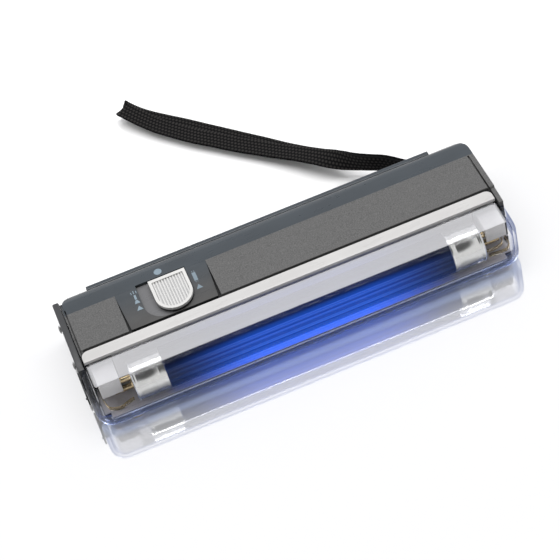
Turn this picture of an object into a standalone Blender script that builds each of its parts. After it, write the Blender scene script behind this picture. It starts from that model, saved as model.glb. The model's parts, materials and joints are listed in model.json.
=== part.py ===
"""Handheld ultraviolet banknote detector with a torch at one end.

The frame's origin is at the middle of the bottom, with X along the lamp (the torch at -X),
-Y towards the clear lamp cover and +Z up, out of the switch face. Dimensions are in
millimetres, and the helpers turn them into Blender's metres.
"""
import math

import bmesh
import bpy
from mathutils import Matrix, Vector

MM = 0.001
GAP = 0.3

# Housing
FRONT = -26.75
BODY_LEFT = -79.3
BODY_RIGHT = 82.8
BODY_REAR = 25.9
RIB_REAR = 26.75
CORNER_R = 8.0
WALL = 1.6
PARTING_Z = 9.0
PAD_FRONT_Y = -4.7
PAD_FRONT_Z = 22.0
PAD_REAR_Y = 15.0
PAD_REAR_Z = 20.6
CEILING_Z = 17.6
FLOOR_Z = 1.6
BAY_FRONT_Y = -5.8
LEFT_PAD_X = (-78.3, -59.8)
RIGHT_PAD_X = (-24.2, 80.3)
PANEL_FRONT_Y = -2.75
PANEL_FRONT_Z = 19.8
TRENCH_Z = 16.9

# Lamp: a T5 4 W tube, 16 mm across and 135.9 mm between its cap faces
TUBE_Y = -16.9
TUBE_Z = 10.6
TUBE_R = 7.75
CAP_R = 8.0
CAP_LENGTH = 12.6
LAMP_LEFT = -65.65
LAMP_RIGHT = LAMP_LEFT + 135.9
PIN_LENGTH = 7.1
PIN_R = 1.18
PIN_SPACING = 4.75

# Clear cover
COVER_X = (-81.8, 83.1)
COVER_TOP_Z = 20.7
COVER_WALL = 1.3
COVER_EDGE_R = 4.6
COVER_CORNER_R = 6.0

# Three-position switch: the knob stands at the lamp position
SWITCH_X = -41.85
SWITCH_Y = 5.5
KNOB_STEP = 2.2
KNOB_HALF = 7.1
KNOB_REAR_Y = 14.6
KNOB_ARC_Y = 5.0
KNOB_Z = (19.6, 21.6)
WELL_FLOOR_Z = 19.3

# Torch
TORCH_Y = 7.3
TORCH_Z = 11.0
PLATE_X = (-82.1, -79.6)
PLATE_SCREW_Z = 12.6

# Batteries: four AA cells in two rows of two
CELL_R = 7.1
CELL_LENGTH = 50.5
CELL_ROWS_Y = (1.75, 16.35)
CELL_Z = 8.95
CELLS_X = -31.2
BAY_X = (-34.2, 73.2)

SCREW_XY = ((-74.0, 19.6), (-74.0, -2.4), (78.0, -2.4), (78.0, 9.5))

# Wrist strap: flat tape, and the slot in the rear wall that it comes out of
STRAP_WIDTH = 7.5
STRAP_THICKNESS = 1.1
SLOT_X = (75.3, 78.9)
SLOT_Z = (2.8, 11.2)

SHARP = math.radians(35)


def clear_scene():
    for old in list(bpy.data.objects):
        bpy.data.objects.remove(old, do_unlink=True)


def make_collection(name):
    made = bpy.data.collections.new(name)
    bpy.context.scene.collection.children.link(made)
    return made


clear_scene()
PARTS = make_collection("banknote_detector")
CUTTERS = make_collection("cutters")


def finish(name, colour, roughness, metallic=0.0, alpha=1.0):
    made = bpy.data.materials.new(name)
    made.use_nodes = True
    shader = made.node_tree.nodes["Principled BSDF"]
    shader.inputs["Base Color"].default_value = (*colour, 1.0)
    shader.inputs["Roughness"].default_value = roughness
    shader.inputs["Metallic"].default_value = metallic
    shader.inputs["Alpha"].default_value = alpha
    made.diffuse_color = (*colour, alpha)
    return made


DARK = (0.045, 0.048, 0.052)
PALETTE = {
    "housing": ((0.075, 0.08, 0.085), 0.45, 0.0),
    "black": (DARK, 0.4, 0.0),
    "white": ((0.82, 0.82, 0.8), 0.4, 0.0),
    "ivory": ((0.8, 0.79, 0.74), 0.35, 0.0),
    "clear": ((0.8, 0.85, 0.95), 0.05, 0.0),
    "lamp_glass": ((0.01, 0.03, 0.4), 0.1, 0.0),
    "silver": ((0.75, 0.75, 0.74), 0.3, 1.0),
    "brass": ((0.75, 0.5, 0.25), 0.3, 1.0),
    "copper": ((0.7, 0.32, 0.15), 0.35, 1.0),
    "board": ((0.1, 0.28, 0.12), 0.5, 0.0),
    "ferrite": ((0.06, 0.06, 0.065), 0.7, 0.0),
    "tape": ((0.75, 0.6, 0.12), 0.5, 0.0),
    "cell": ((0.12, 0.14, 0.16), 0.35, 0.3),
    "red": ((0.5, 0.04, 0.03), 0.5, 0.0),
    "insulator": ((0.35, 0.22, 0.12), 0.6, 0.0),
    "strap": ((0.015, 0.015, 0.016), 0.85, 0.0),
}


def dress(obj, finish_name):
    """Give a sub-part a material of its own in the named finish."""
    colour, roughness, metallic = PALETTE[finish_name]
    alpha = 0.3 if finish_name == "clear" else 1.0
    obj.data.materials.clear()
    obj.data.materials.append(finish(obj.name, colour, roughness, metallic, alpha))
    return obj


def link(mesh, name, home=None):
    obj = bpy.data.objects.new(name, mesh)
    (home or PARTS).objects.link(obj)
    return obj


def face_outward(bm):
    bmesh.ops.recalc_face_normals(bm, faces=bm.faces)
    if bm.calc_volume(signed=True) < 0:
        bmesh.ops.reverse_faces(bm, faces=bm.faces)


def from_bmesh(bm, name, home=None):
    face_outward(bm)
    mesh = bpy.data.meshes.new(name)
    bm.to_mesh(mesh)
    bm.free()
    return link(mesh, name, home)


def smooth(obj):
    obj.data.shade_smooth()
    obj.data.set_sharp_from_angle(angle=SHARP)
    return obj


def bake(obj):
    """Replace an object with the mesh that its modifiers or its curve make."""
    bpy.context.view_layer.update()
    evaluated = obj.evaluated_get(bpy.context.evaluated_depsgraph_get())
    mesh = bpy.data.meshes.new_from_object(evaluated)
    name, matrix, home = obj.name, obj.matrix_world.copy(), obj.users_collection[0]
    bm = bmesh.new()
    bm.from_mesh(mesh)
    bmesh.ops.remove_doubles(bm, verts=bm.verts, dist=0.000005)
    face_outward(bm)
    bm.to_mesh(mesh)
    bm.free()
    bpy.data.objects.remove(obj, do_unlink=True)
    made = link(mesh, name, home)
    mesh.name = name
    made.matrix_world = matrix
    return made


def box(name, low, high, bevel=0.0, segments=2, home=None):
    """A box between two corners, with its edges bevelled if asked."""
    bm = bmesh.new()
    size = [(b - a) * MM for a, b in zip(low, high)]
    middle = [(a + b) / 2 * MM for a, b in zip(low, high)]
    matrix = Matrix.Translation(middle) @ Matrix.Diagonal((*size, 1.0))
    bmesh.ops.create_cube(bm, size=1.0, matrix=matrix)
    obj = from_bmesh(bm, name, home)
    if bevel:
        rounding = obj.modifiers.new("Bevel", "BEVEL")
        rounding.width = bevel * MM
        rounding.segments = segments
        obj = smooth(bake(obj))
    return obj


TURNS = {"X": Matrix.Rotation(math.pi / 2, 4, "Y"), "Y": Matrix.Rotation(-math.pi / 2, 4, "X"), "Z": Matrix()}


def rod(name, axis, centre, radius, length, sides=24, home=None):
    """A cylinder along an axis, from its centre point towards + by length."""
    bm = bmesh.new()
    shift = Matrix.Translation((0, 0, length / 2 * MM))
    place = Matrix.Translation([v * MM for v in centre]) @ TURNS[axis] @ shift
    r = radius * MM
    bmesh.ops.create_cone(
        bm, cap_ends=True, segments=sides, radius1=r, radius2=r, depth=length * MM, matrix=place
    )
    return smooth(from_bmesh(bm, name, home))


def ball(name, centre, radius, home=None):
    bm = bmesh.new()
    matrix = Matrix.Translation([v * MM for v in centre])
    bmesh.ops.create_uvsphere(bm, u_segments=20, v_segments=10, radius=radius * MM, matrix=matrix)
    return smooth(from_bmesh(bm, name, home))


def turned(name, profile, centre, axis="X", sides=32):
    """A body of revolution: profile is (radius, height) from the top, down its outer side."""
    mesh = bpy.data.meshes.new(name)
    points = [(r * MM, 0.0, h * MM) for r, h in profile]
    mesh.from_pydata(points, [(i, i + 1) for i in range(len(points) - 1)], [])
    obj = link(mesh, name)
    screw = obj.modifiers.new("Screw", "SCREW")
    screw.axis = "Z"
    screw.steps = sides
    screw.render_steps = sides
    screw.use_merge_vertices = True
    screw.merge_threshold = 0.00001
    obj.matrix_world = Matrix.Translation([v * MM for v in centre]) @ TURNS[axis]
    return smooth(bake(obj))


def plate(name, outline, low, high, axis="Z", home=None):
    """A flat outline extruded along an axis. X takes (y, z) points, Z takes (x, y) points."""
    curve = bpy.data.curves.new(name, "CURVE")
    curve.dimensions = "2D"
    curve.fill_mode = "BOTH"
    curve.extrude = (high - low) / 2 * MM
    spline = curve.splines.new("POLY")
    spline.points.add(len(outline) - 1)
    for point, (u, v) in zip(spline.points, outline):
        point.co = (u * MM, v * MM, 0.0, 1.0)
    spline.use_cyclic_u = True
    obj = link(curve, name, home)
    middle = (low + high) / 2 * MM
    if axis == "X":
        turn = Matrix(((0, 0, 1, middle), (1, 0, 0, 0), (0, 1, 0, 0), (0, 0, 0, 1)))
    else:
        turn = Matrix.Translation((0, 0, middle))
    obj.matrix_world = turn
    return bake(obj)


def wire(name, points, radius, resolution=2, steps=6):
    """A round wire along a smooth route through a few points."""
    curve = bpy.data.curves.new(name, "CURVE")
    curve.dimensions = "3D"
    curve.bevel_depth = radius * MM
    curve.bevel_resolution = resolution
    curve.use_fill_caps = True
    spline = curve.splines.new("POLY")
    route = smooth_route([Vector(p) * MM for p in points], steps)
    spline.points.add(len(route) - 1)
    for point, place in zip(spline.points, route):
        point.co = (*place, 1.0)
    return smooth(bake(link(curve, name)))


def smooth_route(points, steps):
    """Points on a smooth curve through the given ones, with slopes that suit uneven spacing."""
    spans = [(b - a).length for a, b in zip(points, points[1:])]
    slopes = [(points[1] - points[0]) / spans[0]]
    for before, here, after, span, following in zip(points, points[1:], points[2:], spans, spans[1:]):
        arriving, leaving = (here - before) / span, (after - here) / following
        slopes.append((arriving * following + leaving * span) / (span + following))
    slopes.append((points[-1] - points[-2]) / spans[-1])
    route = []
    for start, stop, leave, arrive, span in zip(points, points[1:], slopes, slopes[1:], spans):
        for i in range(steps):
            t = i / steps
            route.append(
                start * (2 * t ** 3 - 3 * t * t + 1) + stop * (3 * t * t - 2 * t ** 3)
                + (leave * (t ** 3 - 2 * t * t + t) + arrive * (t ** 3 - t * t)) * span
            )
    return route + [points[-1]]


def combine(obj, others, operation):
    """Boolean obj with each of the others, which are used up."""
    for other in others:
        step = obj.modifiers.new(operation.title(), "BOOLEAN")
        step.operation = operation
        step.solver = "EXACT"
        step.object = other
        other.display_type = "WIRE"
        other.hide_render = True
        obj = bake(obj)
        bpy.data.objects.remove(other, do_unlink=True)
    return smooth(obj)


def cut(obj, *cutters):
    return combine(obj, cutters, "DIFFERENCE")


def add(obj, *others):
    return combine(obj, others, "UNION")


def keep(obj, *masks):
    return combine(obj, masks, "INTERSECT")


def hang(name, place, *pieces):
    """Parents the pieces that move together to an empty on their line of travel."""
    empty = bpy.data.objects.new(name, None)
    empty.location = [v * MM for v in place]
    PARTS.objects.link(empty)
    bpy.context.view_layer.update()
    for piece in pieces:
        piece.parent = empty
        piece.matrix_parent_inverse = empty.matrix_world.inverted()


def arc(cx, cy, radius, start, stop, steps=8):
    """Points on a circle from one angle to another, in degrees."""
    angles = [math.radians(start + (stop - start) * i / steps) for i in range(steps + 1)]
    return [(cx + radius * math.cos(a), cy + radius * math.sin(a)) for a in angles]


def plan_outline(inset=0.0, front=-12.6):
    """The housing's plan: straight at the front, rounded at both rear corners."""
    radius = CORNER_R - inset
    left, right, rear = BODY_LEFT + inset, BODY_RIGHT - inset, BODY_REAR - inset
    return (
        [(left, front), (right, front)]
        + arc(right - radius, rear - radius, radius, 0, 90)
        + arc(left + radius, rear - radius, radius, 90, 180)
    )


def plan_mask(inset=0.0, front=-12.6, low=-2.0, high=30.0):
    return plate("plan_mask", plan_outline(inset, front), low, high, home=CUTTERS)


def cutter(low, high, bevel=0.0):
    return box("cutter", low, high, bevel, home=CUTTERS)


def hole(axis, centre, radius, length, sides=24):
    return rod("hole", axis, centre, radius, length, sides, CUTTERS)


# ---------------------------------------------------------------- housing


def make_top_cover():
    """Upper half: two raised pads, the sunken switch panel between them and the rear facet."""
    outside = [
        (PAD_FRONT_Y, PAD_FRONT_Z),
        (PAD_REAR_Y, PAD_REAR_Z),
        (20.9, 20.35),
        (22.8, 19.8),
        (24.4, 18.7),
        (25.4, 17.2),
        (BODY_REAR, 15.2),
    ]
    inside = [(BODY_REAR - WALL, 15.0), (23.4, 16.8), (22.0, CEILING_Z), (-1.6, CEILING_Z), (-1.6, 15.9)]
    edge = [(BODY_REAR, PARTING_Z + GAP / 2), (BODY_REAR - WALL, PARTING_Z + GAP / 2)]
    section = [(PAD_FRONT_Y, 15.9)] + outside + edge + inside
    cover = plate("top_cover", section, BODY_LEFT - 2, BODY_RIGHT + 2, "X")
    cover = keep(cover, plan_mask())
    cover = add(cover, cutter((-68.3, 24.9, 12.5), (68.9, RIB_REAR, 18.4), 0.3))
    walls = plate("walls", plan_outline(), PARTING_Z + GAP / 2, 23.0, home=CUTTERS)
    inner = plan_mask(WALL, -30.0)
    trim = cutter((-90, -20, 0), (BODY_RIGHT - 2.1, -5.5, 30))
    front = cutter((-78, -20, 0), (BODY_RIGHT - 2.1, -1.7, CEILING_Z - 1.6))
    walls = cut(walls, inner, trim, front)
    crown = [(-14.0, 2.0), (-14.0, 21.2), (-5.2, 21.2)]
    crown += [(y, z - 0.05) for y, z in outside] + [(BODY_REAR + 1, 2.0)]
    walls = keep(walls, plate("crown", crown, -90, 90, "X", CUTTERS))
    cover = add(cover, walls)
    recess = [
        (PAD_REAR_Y, PAD_REAR_Z - 0.02),
        (PANEL_FRONT_Y, PANEL_FRONT_Z),
        (PANEL_FRONT_Y, TRENCH_Z),
        (-7.0, TRENCH_Z),
        (-7.0, 24.0),
        (PAD_REAR_Y, 24.0),
    ]
    cover = cut(cover, plate("recess", recess, LEFT_PAD_X[1], RIGHT_PAD_X[0], "X", CUTTERS))
    for x, side in ((LEFT_PAD_X[1], 1), (RIGHT_PAD_X[0], -1)):
        wedge = [(x, PAD_REAR_Y - 1.0), (x + side * 1.3, -7.0), (x - side * 0.02, -7.0)]
        cover = cut(cover, plate("groove", wedge, 18.4, 24.0, home=CUTTERS))
    cover = cut(
        cover,
        cutter((RIGHT_PAD_X[1], -6.0, 19.9), (RIGHT_PAD_X[1] + 0.7, 14.6, 24.0)),
        cutter((LEFT_PAD_X[0] - 0.5, -6.0, 19.4), (LEFT_PAD_X[0], 17.5, 24.0)),
        cutter((BODY_LEFT - 2.0, -16.0, 20.1), (LEFT_PAD_X[0] - 0.4, 24.0, 24.0)),
        plate("well", well_outline(), WELL_FLOOR_Z, 24.0, home=CUTTERS),
        cutter((SWITCH_X - 4.1, SWITCH_Y - 1.9, 15.0), (SWITCH_X + 4.1, SWITCH_Y + 1.9, 20.0)),
        hole("X", (-84.0, TORCH_Y, TORCH_Z), 6.9, 8.0, 24),
    )
    for y in (TORCH_Y - 9.5, TORCH_Y + 9.5):
        cover = cut(cover, hole("X", (-84.0, y, PLATE_SCREW_Z), 1.3, 8.0, 12))
    for x, y in SCREW_XY:
        post = rod("post", "Z", (x, y, PARTING_Z + GAP), 2.7, CEILING_Z + 0.6 - PARTING_Z, 16, CUTTERS)
        cover = add(cover, post)
    for x, y in SCREW_XY:
        cover = cut(cover, hole("Z", (x, y, 5.0), 1.35, 11.6, 12))
    return dress(cut(cover, strap_slot()), "housing")


def strap_slot():
    return cutter((SLOT_X[0], 20.0, SLOT_Z[0]), (SLOT_X[1], 28.0, SLOT_Z[1]))


def knob_outline():
    """D shape: straight at the rear and a half circle at the front."""
    centre = SWITCH_X + KNOB_STEP
    front = arc(centre, KNOB_ARC_Y, KNOB_HALF, 0, -180, 16)
    return [(centre - KNOB_HALF, KNOB_REAR_Y), (centre + KNOB_HALF, KNOB_REAR_Y)] + front


def well_outline():
    """The knob's outline, swept along its travel and eased all round."""
    radius = KNOB_HALF + 0.35
    right = arc(SWITCH_X + KNOB_STEP, KNOB_ARC_Y, radius, 0, -90, 8)
    left = arc(SWITCH_X - KNOB_STEP, KNOB_ARC_Y, radius, -90, -180, 8)
    return [(left[-1][0], KNOB_REAR_Y + 1.4), (right[0][0], KNOB_REAR_Y + 1.4)] + right + left


def make_bottom_shell():
    """Lower half: the battery bay, the wall behind the lamp, the lamp's shelf and the screw bosses."""
    top = PARTING_Z - GAP / 2
    shell = plate("bottom_shell", plan_outline(front=-20.0), 0.0, top)
    inside = plate("inside", plan_outline(WALL, BAY_FRONT_Y), FLOOR_Z, 30.0, home=CUTTERS)
    lamp_bay = cutter((-90.0, -30.0, 2.2), (BODY_RIGHT - 2.1, -6.8, 30.0))
    left_end = cutter((-90.0, -30.0, -1.0), (BODY_LEFT + 0.5, -5.5, 30.0))
    right_end = cutter((BODY_RIGHT - 2.2, -30.0, -1.0), (90.0, -12.6, 30.0))
    shell = cut(shell, inside, lamp_bay, left_end, right_end)
    shell = add(
        shell,
        cutter((-76.6, -22.6, 1.6), (78.0, -19.0, 2.2)),
        cutter((BODY_LEFT + 0.8, -6.8, 1.0), (BODY_RIGHT - 2.3, BAY_FRONT_Y, 19.9)),
        cutter((BODY_RIGHT - 3.0, -6.7, 1.0), (BODY_RIGHT - 0.8, BAY_FRONT_Y, top - 0.1)),
    )
    for low, high in ((BAY_X[0] - 1.2, BAY_X[0]), (BAY_X[1], BAY_X[1] + 1.2)):
        shell = add(
            shell,
            cutter((low, -6.0, 1.0), (high, 23.8, 15.6)),
            cutter((low, 23.0, 1.0), (high, 25.0, top - 0.1)),
        )
    for x, y in SCREW_XY[:2]:
        shell = add(shell, rod("boss", "Z", (x, y, 1.0), 2.7, top - 1.0, 16, CUTTERS))
    for x, y in ((-63.0, 20.0), (-40.0, -1.0)):
        shell = add(shell, rod("stand", "Z", (x, y, 1.0), 1.6, 2.1, 12, CUTTERS))
    for x, y in SCREW_XY[:2]:
        shell = cut(shell, hole("Z", (x, y, -1.0), 1.35, 12.0, 12), hole("Z", (x, y, -1.0), 2.5, 3.4, 16))
    opening = [(-4.4, -1.0), (-4.4, 0.74), (-5.4, 0.7), (-5.4, 1.9)]
    opening += [(24.0, 1.9), (24.0, 0.7), (23.0, 0.74), (23.0, -1.0)]
    shell = cut(shell, plate("opening", opening, -33.9, 90.0, "X", CUTTERS))
    shell = add(shell, cutter((BAY_X[1] + 0.3, -6.0, 2.0), (BODY_RIGHT - 0.9, 18.6, 3.2)))
    for x, y in SCREW_XY[2:]:
        shell = add(shell, rod("boss", "Z", (x, y, 2.0), 2.7, top - 2.0, 16, CUTTERS))
    for x, y in SCREW_XY[2:]:
        shell = cut(shell, hole("Z", (x, y, 1.0), 1.35, 12.0, 12), hole("Z", (x, y, 1.0), 2.5, 3.4, 16))
    shell = cut(
        shell,
        strap_slot(),
        hole("X", (-84.0, TORCH_Y, TORCH_Z), 6.9, 8.0, 24),
        cutter((-70.6, -7.5, 2.4), (-66.4, -5.2, 4.8)),
    )
    return dress(shell, "black")


def make_battery_door():
    """Sliding floor of the battery bay, with a tongue along each side and finger grooves."""
    section = [(-4.1, 0.0), (22.7, 0.0), (22.7, 1.04), (23.7, 1.0)]
    section += [(23.7, 1.6), (-5.1, 1.6), (-5.1, 1.0), (-4.1, 1.04)]
    door = plate("battery_door", section, -33.6, BODY_RIGHT + 2, "X")
    for i in range(5):
        x = 64.0 + 2.4 * i
        door = cut(door, cutter((x, 3.0, -0.5), (x + 1.2, 16.0, 0.45)))
    corner = [(BODY_RIGHT, -9.0)] + arc(BODY_RIGHT - CORNER_R, 17.9, CORNER_R, 0, 60, 6)
    corner += [(70.0, 30.0), (-40.0, 30.0)]
    door = keep(door, plate("corner", corner + [(-40.0, -9.0)], -2.0, 4.0, home=CUTTERS))
    hang("door_travel", (0.0, 9.3, 0.8), door)
    return dress(door, "black")


def make_torch():
    """End plate with its two dome screws, the lens, the reflector, the bulb and its holder."""
    end = cutter((PLATE_X[0], -12.2, 0.8), (PLATE_X[1], 22.8, 20.4), 0.5)
    end.name = "torch_end_plate"
    CUTTERS.objects.unlink(end)
    PARTS.objects.link(end)
    tongue = cutter((PLATE_X[0] - 0.6, -19.0, 9.0), (PLATE_X[0] - 0.001, -8.0, 15.0))
    root = cutter((PLATE_X[0] - 0.6, -12.0, 9.0), (PLATE_X[0] + 0.4, -8.0, 15.0))
    catch = ball("catch", (PLATE_X[0] - 0.5, -18.2, 12.0), 0.5, CUTTERS)
    centre = (BODY_LEFT + CORNER_R, BODY_REAR - CORNER_R)
    wedge = [(PLATE_X[1] - 0.6, centre[1])] + arc(*centre, CORNER_R + 2 * GAP, 172, 150, 6)
    wedge += [(PLATE_X[1] - 0.6, wedge[-1][1])]
    end = add(end, root, tongue, catch, plate("wedge", wedge, 0.9, 19.0, home=CUTTERS))
    end = cut(
        end,
        hole("X", (-84.0, TORCH_Y, TORCH_Z), 6.2, 8.0, 28),
        hole("X", (-81.0, TORCH_Y, TORCH_Z), 7.3, 2.0, 28),
    )
    for y in (TORCH_Y - 9.5, TORCH_Y + 9.5):
        end = cut(end, hole("X", (-84.0, y, PLATE_SCREW_Z), 1.3, 8.0, 12))
    dress(end, "black")
    for label, y in (("front", TORCH_Y - 9.5), ("rear", TORCH_Y + 9.5)):
        profile = [(0.0, 0.0), (0.9, -0.08), (1.5, -0.4), (1.75, -0.7), (1.0, -0.7), (1.0, -6.2), (0.0, -6.2)]
        screw = turned(f"end_screw_{label}", profile, (-83.1, y, PLATE_SCREW_Z), "X", 16)
        flip(screw, -83.1)
        dress(screw, "silver")
    lens = [(0.0, 0.0), (4.0, -0.15), (6.9, -0.5), (6.9, -1.2), (0.0, -1.2)]
    made = turned("torch_lens", lens, (-80.85, TORCH_Y, TORCH_Z), "X", 28)
    dress(flip(made, -80.85), "clear")
    bowl = [(6.2, 0.0), (6.2, -0.8), (5.4, -4.0), (3.6, -7.6), (2.9, -9.2), (2.2, -9.2), (2.2, -8.4)]
    bowl += [(3.0, -7.0), (4.8, -3.6), (5.7, 0.0), (6.2, 0.0)]
    made = turned("torch_reflector", bowl, (-79.3, TORCH_Y, TORCH_Z), "X", 24)
    dress(flip(made, -79.3), "silver")
    glass = [(0.0, 0.0), (1.1, -0.3), (1.8, -1.3), (1.8, -2.6), (1.2, -4.2), (0.0, -4.2)]
    made = turned("torch_bulb", glass, (-74.2, TORCH_Y, TORCH_Z), "X", 20)
    dress(flip(made, -74.2), "clear")
    base = [(0.0, 0.0), (1.9, 0.0), (1.9, -5.0), (1.0, -5.6), (0.0, -5.6)]
    made = turned("bulb_base", base, (-69.7, TORCH_Y, TORCH_Z), "X", 20)
    dress(flip(made, -69.7), "brass")
    holder = box("bulb_holder", (-69.2, TORCH_Y - 3.4, 2.0), (-66.4, TORCH_Y + 3.4, 15.0), 0.3)
    dress(cut(holder, hole("X", (-72.0, TORCH_Y, TORCH_Z), 2.2, 9.0)), "black")


def flip(obj, x):
    """Mirror a turned piece in the plane of its own face, so that it points towards -X."""
    bm = bmesh.new()
    bm.from_mesh(obj.data)
    for vertex in bm.verts:
        place = obj.matrix_world @ vertex.co
        place.x = 2 * x * MM - place.x
        vertex.co = obj.matrix_world.inverted() @ place
    face_outward(bm)
    bm.to_mesh(obj.data)
    bm.free()
    return smooth(obj)


# ---------------------------------------------------------------- lamp


def make_reflector_tray():
    """White tray: the rim strip on the switch face and the curved wall behind the lamp."""
    section = [
        (-5.9, 22.0), (-5.9, 20.9), (-7.1, 20.9), (-7.1, 11.0), (-7.6, 7.2), (-9.2, 4.1), (-11.0, 2.5),
        (-12.2, 2.5), (-12.0, 3.1), (-10.1, 4.8), (-8.6, 7.6), (-8.05, 11.0), (-8.1, 15.5), (-8.9, 18.3),
        (-9.8, 19.8),
        (-10.8, 19.8), (-10.8, 22.0),
    ]
    tray = plate("reflector_tray", section, -79.0, 80.4, "X")
    corners = (
        [(-79.0, -14.0), (80.4, -14.0)] + arc(77.9, -8.4, 2.5, 0, 90, 6) + arc(-76.5, -8.4, 2.5, 90, 180, 6)
    )
    tray = keep(tray, plate("corners", corners, 0.0, 30.0, home=CUTTERS))
    tray = cut(
        tray,
        cutter((-90.0, -30.0, 0.0), (LAMP_LEFT - 3.3, 0.0, 20.6)),
        cutter((LAMP_RIGHT + 1.4, -30.0, 0.0), (90.0, 0.0, 20.6)),
    )
    return dress(tray, "white")


def make_lamp_holders():
    """White socket blocks, each with a slot for the lamp's pins and a foot on the shelf."""
    for side, low, high, bottom in (("left", -77.5, -69.5, 9.4), ("right", 72.2, 80.2, 10.4)):
        block = box(f"lamp_holder_{side}", (low, -19.2, bottom), (high, -7.4, 17.6), 0.4)
        foot = cutter((low + 0.5, -13.2, 2.5), (high - 0.5, -7.5, 11.0))
        block = add(block, foot)
        slot = (-73.6, -69.0) if side == "left" else (71.8, 78.2)
        block = cut(block, cutter((slot[0], -18.5, 5.6), (slot[1], -15.3, 14.6)))
        way = -71.4 if side == "left" else 70.0
        block = cut(block, hole("X", (way, -8.9, 3.7), 0.8, 4.0, 12))
        dress(block, "white")


def leaf(name, points, low, high):
    """A springy contact strip: a thin band through (x, y) points, between two heights."""
    half = 0.17
    route = smooth_route([Vector((x, y, 0.0)) for x, y in points], 4)
    offsets = []
    for i, place in enumerate(route):
        along = route[min(i + 1, len(route) - 1)] - route[max(i - 1, 0)]
        offsets.append((place, Vector((-along.y, along.x, 0.0)).normalized() * half))
    outline = [(p.x + n.x, p.y + n.y) for p, n in offsets]
    outline += [(p.x - n.x, p.y - n.y) for p, n in reversed(offsets)]
    return dress(smooth(plate(name, outline, low, high)), "brass")


def make_contacts():
    """Brass leaves beside the lamp's pins, rooted at the holders' feet."""
    left_front = [(-77.4, -12.0), (-77.4, -18.0), (-76.2, -21.6), (-72.6, -23.0), (-69.3, -21.9)]
    left_front += [(-66.8, -21.3)]
    left_rear = [(-76.4, -13.7), (-73.0, -14.3), (-70.0, -14.9), (-67.2, -14.5)]
    right_front = [(71.6, -21.0), (75.5, -21.3), (78.8, -21.1), (80.4, -19.6), (80.8, -16.5), (80.6, -13.6)]
    right_rear = [(71.7, -18.6), (75.0, -18.8), (78.4, -17.6), (79.3, -13.8)]
    leaf("contact_left_front", left_front, 4.9, 7.5)
    leaf("contact_left_rear", left_rear, 4.4, 6.4)
    leaf("contact_right_front", right_front, 3.7, 6.9)
    leaf("contact_right_rear", right_rear, 4.4, 6.4)


def make_lamp():
    """The tube: glass, two metal caps and two insulating bases with their pins."""
    glass_left = LAMP_LEFT + 1.4
    glass_right = LAMP_RIGHT - 1.4
    length = glass_right - glass_left
    inner = TUBE_R - 0.8
    neck = TUBE_R - 0.3
    profile = [
        (inner - 0.3, 0.0), (neck, 0.0), (neck, -CAP_LENGTH), (TUBE_R, -CAP_LENGTH),
        (TUBE_R, CAP_LENGTH - length), (neck, CAP_LENGTH - length), (neck, -length), (inner - 0.3, -length),
        (inner - 0.3, 0.0),
    ]
    dress(turned("uv_tube", profile, (glass_right, TUBE_Y, TUBE_Z), "X", 32), "lamp_glass")
    for side, face, way in (("left", LAMP_LEFT, 1), ("right", LAMP_RIGHT, -1)):
        cap = [
            (3.6, 0.0), (7.2, 0.0), (CAP_R, -0.35), (CAP_R, -1.1), (7.85, -1.35), (7.85, 0.9 - CAP_LENGTH),
            (CAP_R, 0.7 - CAP_LENGTH), (CAP_R, -CAP_LENGTH), (7.75, -CAP_LENGTH), (7.72, -1.0), (3.6, -1.0),
            (3.6, 0.0),
        ]
        made = turned(f"tube_cap_{side}", cap, (face, TUBE_Y, TUBE_Z), "X", 32)
        if way == 1:
            flip(made, face)
        dress(made, "silver")
        start = face + way * 0.9
        disc = rod(f"tube_pins_{side}", "X", (min(start, start - way * 1.4), TUBE_Y, TUBE_Z), 3.3, 1.4, 24)
        for z in (TUBE_Z - PIN_SPACING / 2, TUBE_Z + PIN_SPACING / 2):
            root = face - way * 0.2
            tip = face - way * PIN_LENGTH
            pin = rod("pin", "X", (min(root, tip), TUBE_Y, z), PIN_R, abs(tip - root), 14, CUTTERS)
            disc = add(disc, pin)
        dress(disc, "brass")


def rounded_shell(name, inset, rear, home=None):
    """A box with rounded upright front corners and rounded long edges, shrunk by an inset."""
    left, right, front = COVER_X[0] + inset, COVER_X[1] - inset, FRONT + inset
    radius = COVER_CORNER_R - inset
    outline = (
        [(left, rear), (left, front + radius)]
        + arc(left + radius, front + radius, radius, 180, 270, 6)[1:]
        + arc(right - radius, front + radius, radius, 270, 360, 6)
        + [(right, rear)]
    )
    low, high = inset, COVER_TOP_Z - inset
    shell = plate(name, outline, low, high, home=home)
    bm = bmesh.new()
    bm.from_mesh(shell.data)
    bmesh.ops.dissolve_limit(bm, angle_limit=math.radians(1), verts=bm.verts, edges=bm.edges)
    rims = []
    for edge in bm.edges:
        a, b = [shell.matrix_world @ v.co for v in edge.verts]
        level = abs(a.z - b.z) < 1e-6
        at_rear = min(abs(a.y - rear * MM), abs(b.y - rear * MM)) < 1e-6 and abs(a.y - b.y) < 1e-6
        if level and not at_rear:
            rims.append(edge)
    offset = (COVER_EDGE_R - inset) * MM
    bmesh.ops.bevel(
        bm, geom=rims, offset=offset, segments=5, profile=0.5, affect="EDGES", clamp_overlap=False
    )
    bmesh.ops.recalc_face_normals(bm, faces=bm.faces)
    bm.to_mesh(shell.data)
    bm.free()
    return shell


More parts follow.
